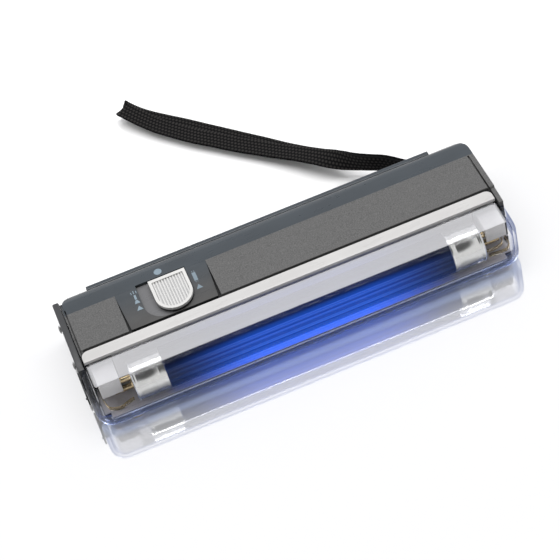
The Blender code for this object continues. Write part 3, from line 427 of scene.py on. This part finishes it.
def clear_plastic():
    """Clear moulding: see-through face on, mirror-like and lavender where it is seen at a slant; its foot
    is a blue-tinted mirror as painted lamp glow, and its cut face is tinted dark as painted shade.
    """
    made, t = material("clear_moulding", "ShaderNodeMixShader")
    mirror = t.node("ShaderNodeBsdfPrincipled")
    mirror.inputs["Metallic"].default_value = 1.0
    through = t.node("ShaderNodeBsdfTransparent")
    weight = t.node("ShaderNodeLayerWeight")
    weight.inputs["Blend"].default_value = 0.5
    slant = weight.outputs["Facing"]
    _, y, z = t.xyz()
    top = t.times(t.smooth(z, *COVER_TOP_Z), t.smooth(y, *COVER_TOP_FRONT_Y))
    foot = t.falling(z, *COVER_FOOT_Z)
    haze = t.plus(t.times(top, TOP_HAZE), t.times(foot, FOOT_GLOW_SHARE))
    gloss = t.plus(t.times(t.math("POWER", slant, 4.0), SLANT_GLOSS), t.plus(haze, LEAST_GLOSS))
    tint = t.mix(t.smooth(slant, 0.30, 0.95), FACE_ON_TINT, SLANTED_TINT)
    # Painted shade: what is seen through the cut face is tinted dark
    t.put(through.inputs["Color"], t.mix(t.smooth(y, *CUT_FACE_Y), tint, CUT_FACE_SHADE))
    smears = t.noise(180.0, 4.0, 0.6, (0.3, 1.0, 1.0))
    polished = t.mix(smears, (0.90, 0.90, 0.92), (0.96, 0.96, 0.97))
    # Painted lamp glow: the mirror is tinted blue at the foot
    t.put(mirror.inputs["Base Color"], t.mix(foot, polished, FOOT_PAINTED_GLOW))
    t.put(mirror.inputs["Roughness"], t.smooth(smears, 0.35, 0.8, 0.03, 0.08))
    t.blend(gloss, through, mirror)
    return made


# ---------------------------------------------------------------- lamp glass

GLASS_DARK = (0.003, 0.005, 0.018)
GLOW = ((0.001, 0.038, 0.36), (0.030, 0.140, 0.76))
DIM = ((0.002, 0.007, 0.030), (0.010, 0.024, 0.085))
GLOW_SEEN = 0.95
GLOW_ON_FLOOR = 6.0

# The discharge's lines run round the tube by angle: 0 faces the front, and up is positive
LINE_SCALE = 11.0
# The glow is painted dim on the tube's upper side: painted shade for the dark band along its top
UPPER_EDGE = (0.66, 1.02)
UPPER_SHADE = 0.12
LOWER_EDGE = (-1.5, -0.6)
LOWER_DIM = 0.3
GLOW_MIDDLE_X = 0.0025
GLOW_HALF_LENGTH = (0.018, 0.056)


def lamp_glass():
    """Dark blue filter glass with the discharge showing through as fine lines along the tube; its glow is
    painted dim towards the top as painted shade.
    """
    made, t = material("filter_glass")
    setup(t, 0.08, ior=1.52, specular=0.16)
    x, y, z = t.xyz()
    angle = t.math("ARCTAN2", t.minus(z, LAMP_Z * MM), t.minus(LAMP_Y * MM, y))
    lines = t.node("ShaderNodeTexNoise", noise_dimensions="1D")
    t.put(lines.inputs["W"], angle)
    lines.inputs["Scale"].default_value = LINE_SCALE
    lines.inputs["Detail"].default_value = 5.0
    lines.inputs["Roughness"].default_value = 0.65
    fine = t.smooth(lines.outputs[0], 0.42, 0.60)
    # Painted shade: the glow fades out towards the tube's top
    upper = t.smooth(angle, *UPPER_EDGE, 1.0, UPPER_SHADE)
    lower = t.smooth(angle, *LOWER_EDGE, LOWER_DIM, 1.0)
    from_middle = t.math("ABSOLUTE", t.minus(x, GLOW_MIDDLE_X))
    length = t.falling(from_middle, *GLOW_HALF_LENGTH)
    t.surface(GLASS_DARK)
    t.put(t.main.inputs["Emission Color"], t.mix(length, t.mix(fine, *DIM), t.mix(fine, *GLOW)))
    cast = t.node("ShaderNodeLightPath").outputs["Is Diffuse Ray"]
    strength = t.plus(t.times(cast, GLOW_ON_FLOOR), GLOW_SEEN)
    t.put(t.main.inputs["Emission Strength"], t.times(upper, lower, strength))
    return made


# ---------------------------------------------------------------- other materials

CELLS_START_X = -0.0312
CELLS_PER_METRE = 19.6
COPPER_BAND = (0.72, 0.74)


def webbing():
    """Black woven polyester: the weave attribute says how far each float stands out, and the raised floats
    are painted lighter as painted highlights.
    """
    made, t = material("black_webbing")
    setup(t, 0.8, specular=0.08)
    fibre = t.noise(2600.0, 4.0, 0.65)
    floats = t.node("ShaderNodeAttribute", attribute_name="weave").outputs["Fac"]
    # Painted highlight: the raised floats are painted lighter
    lit = t.times(t.smooth(floats, 0.35, 0.9), t.smooth(fibre, 0.2, 0.6, 0.6, 1.0))
    colour = t.mix(lit, (0.0022, 0.0022, 0.0026), (0.030, 0.028, 0.027))
    t.surface(colour, fibre, 0.00012, strength=0.7)
    return made


def lens_plastic():
    """Clear moulded lens with faint rings."""
    made, t = material("clear_lens")
    setup(t, 0.04, ior=1.49)
    t.main.inputs["Transmission Weight"].default_value = 1.0
    t.surface((0.96, 0.97, 0.98), t.noise(300.0, 2.0), 0.00002)
    return made


def cell_sleeve():
    """Plain dark sleeve with a copper band at the positive end."""
    made, t = material("cell_sleeve")
    setup(t, 0.3, coat=0.4)
    x, _, _ = t.xyz()
    along = t.math("FRACT", t.times(t.minus(x, CELLS_START_X), CELLS_PER_METRE))
    smear = t.noise(200.0, 4.0)
    sleeve = t.mix(smear, (0.02, 0.021, 0.024), (0.04, 0.042, 0.047))
    t.surface(t.mix(t.smooth(along, *COPPER_BAND), sleeve, (0.55, 0.30, 0.12)), smear, 0.00003)
    return made


def winding():
    """Yellow tape round a wire winding."""
    made, t = material("taped_winding")
    setup(t, 0.4)
    turns = t.node("ShaderNodeTexWave", bands_direction="Z")
    t.put(turns.inputs["Vector"], t.coords())
    turns.inputs["Scale"].default_value = 900.0
    wound = turns.outputs["Fac"]
    t.surface(t.mix(wound, (0.45, 0.30, 0.05), (0.62, 0.43, 0.08)), wound, 0.00005)
    return made


def make_finishes():
    return {
        "housing": housing_plastic(),
        "base": base_plastic(),
        "black": plastic("black_moulding", (0.013, 0.014, 0.016), 0.42, 1300.0, 0.00006),
        "white": plastic("white_moulding", (0.60, 0.59, 0.58), 0.32, 700.0, 0.00002, 0.05),
        "tray": plastic("tray_moulding", (0.475, 0.468, 0.462), 0.30, 700.0, 0.00002, 0.05),
        "ivory": knob_plastic(),
        "clear": clear_plastic(),
        "lamp_glass": lamp_glass(),
        "lens": lens_plastic(),
        "silver": metal("nickel_plate", (0.72, 0.72, 0.70), 0.28),
        "blued": metal("blackened_steel", (0.17, 0.17, 0.17), 0.32),
        "aluminium": metal(
            "rolled_aluminium", (0.86, 0.86, 0.83), 0.16, (8.0, 0.3, 0.3), 500.0, 0.000004, 0.10
        ),
        "mirror": metal("metallised_bowl", (0.90, 0.90, 0.90), 0.05, depth=0.000002, stain=0.04),
        "brass": metal("spring_brass", (0.62, 0.49, 0.29), 0.24, (0.3, 1.0, 1.0), 900.0, 0.00001, 0.5),
        "cell": cell_sleeve(),
        "board": plastic("fibre_board", (0.03, 0.16, 0.05), 0.45, 400.0, 0.00003, 0.3),
        "ferrite": plastic("ferrite", (0.03, 0.03, 0.033), 0.7, 1500.0, 0.0001),
        "winding": winding(),
        "case": plastic("epoxy_case", (0.02, 0.02, 0.022), 0.5, 1200.0, 0.00005),
        "film": plastic("dipped_film", (0.42, 0.05, 0.03), 0.25, 500.0, 0.00005, 0.3, 0.4),
        "red": plastic("red_insulation", (0.42, 0.02, 0.015), 0.4, 800.0, 0.00002, 0.2),
        "dark_wire": plastic("black_insulation", (0.015, 0.015, 0.015), 0.4, 800.0, 0.00002, 0.2),
        "ink": plastic("printed_ink", (0.15, 0.20, 0.24), 0.5, 2000.0, 0.00003, 0.3),
    }


# ---------------------------------------------------------------- mesh helpers

# Edges sharper than this stay sharp, in degrees
SHARP_ANGLE = 32.0
BEVEL_SEGMENTS = 2
BEVEL_ANGLE = 40.0

# A CAD node's faces and points are joined where they differ by less than this
FLAT_ANGLE = 0.4
SAME_PLACE = 0.000002


def new_object(name, mesh):
    made = bpy.data.objects.new(name, mesh)
    bpy.context.scene.collection.objects.link(made)
    return made


def shade(obj, degrees=SHARP_ANGLE):
    for face in obj.data.polygons:
        face.use_smooth = True
    obj.data.set_sharp_from_angle(angle=math.radians(degrees))
    return obj


def from_bmesh(bm, name):
    """A new object from a bmesh, with its faces turned outwards."""
    bmesh.ops.recalc_face_normals(bm, faces=bm.faces)
    mesh = bpy.data.meshes.new(name)
    bm.to_mesh(mesh)
    bm.free()
    return new_object(name, mesh)


def dress(obj, finish, node=None, body=None):
    """Gives a piece its material and its CAD body, and hides the node that it stands for."""
    obj.data.materials.clear()
    obj.data.materials.append(finish)
    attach(obj, body or BODY_OF[node])
    if node:
        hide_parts(node)
    return obj


def round_edges(obj, width):
    """Bevels an object's sharp edges for good."""
    modifier = obj.modifiers.new("edges", "BEVEL")
    modifier.width = width * MM
    modifier.segments = BEVEL_SEGMENTS
    modifier.limit_method = "ANGLE"
    modifier.angle_limit = math.radians(BEVEL_ANGLE)
    modifier.harden_normals = False
    bpy.context.view_layer.update()
    graph = bpy.context.evaluated_depsgraph_get()
    rounded = bpy.data.meshes.new_from_object(obj.evaluated_get(graph))
    obj.modifiers.clear()
    obj.data = rounded


def skin(node, finish, bevel=0.0):
    """A smooth-shaded copy of a CAD node, with its points joined and, when a bevel is given, its flat faces
    joined and its edges rounded.
    """
    bm = bmesh.new()
    bm.from_mesh(NODES[node].data)
    bmesh.ops.remove_doubles(bm, verts=bm.verts, dist=SAME_PLACE)
    if bevel:
        flat = math.radians(FLAT_ANGLE)
        bmesh.ops.dissolve_limit(bm, angle_limit=flat, verts=bm.verts, edges=bm.edges)
    bm.verts.ensure_lookup_table()
    places = [tuple(v.co) for v in bm.verts]
    faces = [[v.index for v in f.verts] for f in bm.faces]
    bm.free()
    mesh = bpy.data.meshes.new(node + "_skin")
    mesh.from_pydata(places, [], faces)
    obj = new_object(node + "_skin", mesh)
    if bevel:
        round_edges(obj, bevel)
    return dress(shade(obj), finish, node)


def turned(name, profile, sides=96):
    """A closed solid turned about the lamp's axis from (radius, x) pairs."""
    bm = bmesh.new()
    rings = []
    for radius, x in profile:
        around = [2 * math.pi * k / sides for k in range(sides)] if radius else [0.0]
        spots = [(x, LAMP_Y + radius * math.cos(a), LAMP_Z + radius * math.sin(a)) for a in around]
        rings.append([bm.verts.new(Vector(spot) * MM) for spot in spots])
    for first, second in zip(rings, rings[1:]):
        for k in range(sides):
            j = (k + 1) % sides
            corners = [(first, k), (first, j), (second, j), (second, k)]
            unique = list(dict.fromkeys(ring[i % len(ring)] for ring, i in corners))
            bm.faces.new(unique)
    return shade(from_bmesh(bm, name))


def sweep(bm, rings):
    """Joins rings of points into a closed bar with flat ends."""
    for first, second in zip(rings, rings[1:]):
        for k in range(len(first)):
            j = (k + 1) % len(first)
            bm.faces.new((first[k], first[j], second[j], second[k]))
    bm.faces.new(rings[0])
    bm.faces.new(list(reversed(rings[-1])))


def heading(places, i):
    """The way a route runs past one of its points."""
    return places[min(i + 1, len(places) - 1)] - places[max(i - 1, 0)]


def smooth_route(points, steps):
    """Points on a smooth curve through the given ones, with slopes that suit uneven spacing."""
    spans = [(b - a).length for a, b in zip(points, points[1:])]
    slopes = [(points[1] - points[0]) / spans[0]]
    for before, here, after, span, following in zip(points, points[1:], points[2:], spans, spans[1:]):
        arriving, leaving = (here - before) / span, (after - here) / following
        slopes.append((arriving * following + leaving * span) / (span + following))
    slopes.append((points[-1] - points[-2]) / spans[-1])
    route = []
    for start, stop, leave, arrive, span in zip(points, points[1:], slopes, slopes[1:], spans):
        for i in range(steps):
            t = i / steps
            route.append(
                start * (2 * t ** 3 - 3 * t * t + 1) + stop * (3 * t * t - 2 * t ** 3)
                + (leave * (t ** 3 - 2 * t * t + t) + arrive * (t ** 3 - t * t)) * span
            )
    return route + [points[-1]]


# ---------------------------------------------------------------- wrist strap

STRAP_WIDTH = 7.5
STRAP_THICKNESS = 1.1

# The middle of the two legs from the slot to the fold: x, y, z, the tape's twist in degrees (90 is
# on edge) and how far the legs lie apart sideways
STRAP_SPINE = [
    (77.1, 22.6, 7.0, 90, 0.0), (77.0, 26.8, 6.9, 90, 0.0), (75.2, 29.8, 6.6, 90, 0.5),
    (71.0, 31.4, 6.2, 90, 1.0), (66.0, 32.0, 6.2, 90, 1.4), (61.4, 33.4, 6.8, 90, 1.4),
    (58.1, 35.8, 7.7, 90, 1.4), (54.8, 38.4, 8.3, 90, 1.4), (50.6, 41.1, 8.4, 90, 1.4),
    (46.8, 44.1, 7.9, 86, 1.4), (43.6, 47.0, 7.3, 72, 1.6), (40.4, 50.3, 6.6, 46, 1.8),
    (37.4, 53.7, 5.9, 22, 2.0), (34.4, 57.2, 5.2, 8, 2.2), (28.7, 63.9, 3.8, 0, 2.7),
    (22.5, 70.6, 2.8, 0, 3.4), (16.3, 77.2, 2.3, 0, 4.3), (9.9, 83.6, 2.1, 0, 5.0),
    (3.7, 89.9, 2.1, 0, 5.3), (-2.8, 96.4, 2.1, 0, 5.7), (-9.1, 103.1, 2.2, 0, 5.5),
    (-15.5, 109.8, 2.5, 0, 4.6), (-20.1, 115.0, 3.0, 0, 3.2), (-24.2, 120.2, 3.7, 0, 2.2),
]
# Half the distance between the legs' faces: it grows by a step a point, up to the most
LEG_LIFT_LEAST = 0.9
LEG_LIFT_STEP = 0.1
LEG_LIFT_MOST = 1.2

# How far the fold reaches past the legs' ends, at its middle and at its two shoulders
FOLD_REACH = 4.1
FOLD_SHOULDER = 3.2

# The weave: rows of short floats across the tape
WEAVE_ROWS = 5
WEAVE_RELIEF = 0.13
FLOAT_LENGTH = 1.5
WEAVE_ROOM = 0.06
SELVEDGE = 0.6
SELVEDGE_THINNING = 0.45

# The tape's mesh: points along it and across it, and how sharp an edge stays sharp
TAPE_STEP = 0.30
TAPE_COLUMNS = 35
TAPE_SHARP_ANGLE = 70.0
ROUTE_STEPS = 12


def strap_leg(side):
    """One leg's centre points and width directions: side is 1 for the upper leg and -1 for the lower."""
    places = [Vector(p[:3]) for p in STRAP_SPINE]
    leg = []
    for i, (_, _, _, twist, spread) in enumerate(STRAP_SPINE):
        along = heading(places, i)
        across = along.cross(Vector((0, 0, 1))).normalized()
        up = across.cross(along).normalized()
        a = math.radians(twist)
        width = across * math.cos(a) + up * math.sin(a)
        face = up * math.cos(a) - across * math.sin(a)
        apart = min(LEG_LIFT_MOST, LEG_LIFT_LEAST + LEG_LIFT_STEP * i)
        shift = spread / 2 * (math.sin(a) - math.cos(a))
        leg.append((places[i] + side * (face * apart + width * shift), width))
    return leg


def strap_course():
    """The tape's middle line out along the upper leg, over the fold and back, with its width directions."""
    upper, lower = strap_leg(1), strap_leg(-1)
    top, width = upper[-1]
    bottom = lower[-1][0]
    ahead = (top - upper[-2][0]).normalized()
    over = [
        (top * 0.8 + bottom * 0.2 + ahead * FOLD_SHOULDER, width),
        ((top + bottom) / 2 + ahead * FOLD_REACH, width),
        (top * 0.2 + bottom * 0.8 + ahead * FOLD_SHOULDER, width),
    ]
    keys = upper + over + list(reversed(lower))
    return [place for place, _ in keys], [side for _, side in keys]


def even_course(spacing):
    """The course read at even distances along the tape."""
    keys, sides = strap_course()
    route = smooth_route(keys, ROUTE_STEPS)
    ways = []
    for first, second in zip(sides, sides[1:]):
        ways += [first.lerp(second, i / ROUTE_STEPS) for i in range(ROUTE_STEPS)]
    ways.append(sides[-1])
    travelled = [0.0]
    for a, b in zip(route, route[1:]):
        travelled.append(travelled[-1] + (b - a).length)
    count = int(travelled[-1] / spacing)
    out, k = [], 0
    for i in range(count + 1):
        wanted = travelled[-1] * i / count
        while k < len(travelled) - 2 and travelled[k + 1] < wanted:
            k += 1
        t = (wanted - travelled[k]) / (travelled[k + 1] - travelled[k])
        out.append((route[k].lerp(route[k + 1], t), ways[k].lerp(ways[k + 1], t), wanted))
    return out


def weave_height(u, v, back):
    """How far a point stands out of the tape, from 0 to 1: each row lies half a float on from the last."""
    row = (u / STRAP_WIDTH + 0.5) * WEAVE_ROWS
    index = math.floor(row)
    cord = math.sin(math.pi * (row - index)) ** 0.6
    phase = v / FLOAT_LENGTH + 0.5 * (index % 2) + (0.25 if back else 0.0)
    dash = 0.5 + 0.5 * math.cos(2 * math.pi * phase)
    return cord * (0.35 + 0.65 * dash ** 0.7)


def make_strap():
    """The tape, with its weave as real relief and the same weave as an attribute for its colour."""
    course = even_course(TAPE_STEP)
    middles = [place for place, _, _ in course]
    half_u = STRAP_WIDTH / 2
    half_v = STRAP_THICKNESS / 2 - WEAVE_ROOM
    section = [(-half_u + STRAP_WIDTH * (k + 0.5) / TAPE_COLUMNS, 1) for k in range(TAPE_COLUMNS)]
    section += [(u, -1) for u, _ in reversed(section)]
    bm = bmesh.new()
    rings, weave = [], []
    for i, (place, side, v) in enumerate(course):
        along = heading(middles, i).normalized()
        across = (side - along * side.dot(along)).normalized()
        face = across.cross(along)
        ring = []
        for u, way in section:
            rim = max(0.0, (abs(u) - half_u + SELVEDGE) / SELVEDGE)
            raised = weave_height(u, v, way < 0)
            thick = half_v * (1 - SELVEDGE_THINNING * rim * rim) + WEAVE_RELIEF * raised
            ring.append(bm.verts.new((place + across * u + face * way * thick) * MM))
            weave.append(raised)
        rings.append(ring)
    sweep(bm, rings)
    strap = from_bmesh(bm, "wrist_strap_tape")
    strap.data.attributes.new("weave", "FLOAT", "POINT").data.foreach_set("value", weave)
    dress(shade(strap, TAPE_SHARP_ANGLE), webbing(), "wrist_strap")


# ---------------------------------------------------------------- lamp

# A 4 W T5 lamp. Each cap has its outer face's place and the way towards the lamp's middle
LAMP_LEFT = -65.65
LAMP_LENGTH = 135.9
CAP_FACES = {"left": (LAMP_LEFT, 1), "right": (LAMP_LEFT + LAMP_LENGTH, -1)}
GLASS_R = 7.75
GLASS_INSET = 11.9
GLASS_SHOULDER = 0.9
GLASS_BANDS = 8

# A rolled cap from the middle of its face round to its open end: radius and depth from the face
CAP_PROFILE = [
    (0.0, 0.35), (3.5, 0.35), (3.7, 0.0), (7.0, 0.0), (7.55, 0.12), (7.9, 0.5), (8.0, 0.9), (7.9, 1.3),
    (7.72, 1.6), (7.72, 2.0), (7.85, 2.3), (7.86, 9.9), (7.74, 10.2), (7.74, 10.5), (7.86, 10.8),
    (7.88, 11.5), (7.98, 11.75), (8.0, 12.1), (7.98, 12.45), (7.85, 12.6), (7.3, 12.6), (0.0, 12.5),
]


def make_lamp(finishes):
    """Tube with rounded ends, two rolled caps and the pin bases."""
    left = CAP_FACES["left"][0] + GLASS_INSET
    right = CAP_FACES["right"][0] - GLASS_INSET
    start, stop = left + GLASS_SHOULDER, right - GLASS_SHOULDER
    profile = [(0.0, left), (7.2, left), (7.5, left + 0.1)]
    profile += [(GLASS_R, start + (stop - start) * k / GLASS_BANDS) for k in range(GLASS_BANDS + 1)]
    profile += [(7.5, right - 0.1), (7.2, right), (0.0, right)]
    dress(turned("uv_tube_glass", profile), finishes["lamp_glass"], "uv_tube")
    for side, (face, way) in CAP_FACES.items():
        cap = turned(f"tube_cap_{side}_shell", [(r, face + way * depth) for r, depth in CAP_PROFILE])
        dress(cap, finishes["aluminium"], f"tube_cap_{side}")
        skin(f"tube_pins_{side}", finishes["brass"])


# ---------------------------------------------------------------- lamp contacts

LEAF_STEPS = 8
LEAF_SHARP_ANGLE = 40.0

# A leaf's section: how far out of its route, and its share of the height, with a bead at half height
LEAF_SECTION = [
    (-0.16, 0.0), (0.10, 0.0), (0.14, 0.3), (0.22, 0.5), (0.14, 0.7), (0.10, 1.0), (-0.16, 1.0),
    (-0.10, 0.5),
]

# Each leaf's route in plan, and the heights of its lower and upper edges
LEAVES = {
    "contact_left_front": (
        [(-77.4, -12.2), (-77.4, -18.0), (-76.2, -21.6), (-72.6, -23.0), (-69.3, -21.9), (-67.0, -21.3)],
        5.2, 7.0,
    ),
    "contact_left_rear": ([(-76.2, -13.8), (-73.0, -14.3), (-70.0, -14.9), (-67.4, -14.5)], 4.6, 6.1),
    "contact_right_front": (
        [(71.8, -21.0), (75.5, -21.3), (78.8, -21.1), (80.4, -19.6), (80.7, -16.5), (80.6, -13.9)],
        4.5, 6.2,
    ),
    "contact_right_rear": ([(71.9, -18.6), (75.0, -18.8), (78.4, -17.6), (79.2, -14.0)], 4.6, 6.1),
}


def make_leaves(finish):
    """Sprung contact leaves: thin strips on edge with a bead pressed along the middle."""
    for node, (points, low, high) in LEAVES.items():
        route = smooth_route([Vector((x, y, 0.0)) for x, y in points], LEAF_STEPS)
        bm = bmesh.new()
        rings = []
        for i, place in enumerate(route):
            along = heading(route, i).normalized()
            out = Vector((along.y, -along.x, 0.0))
            ring = []
            for offset, share in LEAF_SECTION:
                lift = Vector((0.0, 0.0, low + (high - low) * share))
                ring.append(bm.verts.new((place + out * offset + lift) * MM))
            rings.append(ring)
        sweep(bm, rings)
        dress(shade(from_bmesh(bm, node + "_leaf"), LEAF_SHARP_ANGLE), finish, node)


# ---------------------------------------------------------------- printed marks

# The panel's face slopes up from its front edge, and the facet behind it slopes down: (y, z)
PANEL_FRONT = (-2.75, 19.8)
PANEL_REAR = (15.0, 20.58)
FACET_FRONT = (15.0, 20.6)
FACET_REAR = (20.9, 20.35)
INK_SUNK = 0.02
INK_THICKNESS = 0.06


def bar(x0, y0, x1, y1):
    return [(x0, y0), (x1, y0), (x1, y1), (x0, y1)]


def disc(x, y, radius, sides=32):
    around = [2 * math.pi * k / sides for k in range(sides)]
    return [(x + radius * math.cos(a), y + radius * math.sin(a)) for a in around]


def arrowhead(x, y):
    """A small triangle with its left foot at a point."""
    return [(x, y), (x + 2.4, y), (x + 1.2, y + 2.1)]


# A dot, two arrowheads and two plain pictograms: a torch with rays, and a tube lamp with its pins
MARKS = {
    "mark_dot": [disc(-41.8, 18.4, 1.5)],
    "mark_arrow_left": [arrowhead(-54.2, 4.5)],
    "mark_arrow_right": [arrowhead(-31.3, 3.6)],
    "mark_torch": [
        [(-54.0, 7.8), (-52.0, 7.8), (-52.6, 9.4), (-53.4, 9.4)],
        bar(-53.4, 9.7, -52.6, 11.9),
        bar(-54.1, 12.5, -53.8, 13.6),
        bar(-53.15, 12.5, -52.85, 14.0),
        bar(-52.2, 12.5, -51.9, 13.6),
    ],
    "mark_tube": [
        bar(-30.8, 7.6, -29.4, 11.6),
        bar(-30.6, 6.8, -30.35, 7.3),
        bar(-29.85, 6.8, -29.6, 7.3),
        bar(-30.6, 11.9, -30.35, 12.4),
        bar(-29.85, 11.9, -29.6, 12.4),
    ],
}


def ink_height(y):
    """Height of the printed face at a depth."""
    start, stop = (FACET_FRONT, FACET_REAR) if y > PANEL_REAR[0] else (PANEL_FRONT, PANEL_REAR)
    return start[1] + (y - start[0]) / (stop[0] - start[0]) * (stop[1] - start[1])


def print_outline(bm, outline):
    """Adds a thin plate of ink that lies on the printed face."""
    foot = [Vector((x, y, ink_height(y) - INK_SUNK)) for x, y in outline]
    bottom = [bm.verts.new(place * MM) for place in foot]
    top = [bm.verts.new((place + Vector((0.0, 0.0, INK_THICKNESS))) * MM) for place in foot]
    sweep(bm, [bottom, top])


def make_marks(ink):
    """Generic marks in thin raised ink."""
    for name, outlines in MARKS.items():
        bm = bmesh.new()
        for outline in outlines:
            print_outline(bm, outline)
        dress(from_bmesh(bm, name), ink, body="body")


# ---------------------------------------------------------------- the CAD nodes that keep their shape

FINISH_OF = {
    "top_cover": "housing",
    "bottom_shell": "base",
    "battery_door": "black",
    "torch_end_plate": "black",
    "end_screw_front": "blued",
    "end_screw_rear": "blued",
    "torch_lens": "lens",
    "torch_reflector": "mirror",
    "torch_bulb": "lens",
    "bulb_base": "brass",
    "bulb_holder": "black",
    "reflector_tray": "tray",
    "lamp_holder_left": "white",
    "lamp_holder_right": "white",
    "clear_cover": "clear",
    "switch_knob": "ivory",
    "switch_slider": "white",
    "switch_body": "silver",
    "circuit_board": "board",
    "transformer_core": "ferrite",
    "transformer_coil": "winding",
    "transistor": "case",
    "electrolytic_capacitor": "aluminium",
    "film_capacitor": "film",
    **{f"aa_cell_{k}": "cell" for k in range(1, 5)},
    "battery_spring_left": "silver",
    "battery_spring_right": "silver",
    "contact_plate_negative": "silver",
    "contact_plate_positive": "silver",
    "contact_bridge": "silver",
    "lead_battery_red": "red",
    "lead_battery_black": "dark_wire",
    "lead_torch": "red",
    "lead_lamp_left": "dark_wire",
    "lead_lamp_right": "dark_wire",
    **{f"housing_screw_{k}": "silver" for k in range(1, 5)},
    "strap_toggle": "black",
}

# Rounding added to edges that the CAD leaves sharp, in mm
BEVELS = {"reflector_tray": 0.2, "battery_door": 0.15, "lamp_holder_left": 0.5, "lamp_holder_right": 0.5}


def make_skins(finishes):
    """Every other CAD node, smoothed and in its finish."""
    for node, finish in FINISH_OF.items():
        skin(node, finishes[finish], BEVELS.get(node, 0.0))


# ---------------------------------------------------------------- the scene

bpy.context.scene.view_settings.view_transform = "Standard"
make_camera()
make_world()
make_softbox()
make_floor()
make_strap()
finishes = make_finishes()
make_lamp(finishes)
make_leaves(finishes["brass"])
make_skins(finishes)
make_marks(finishes["ink"])
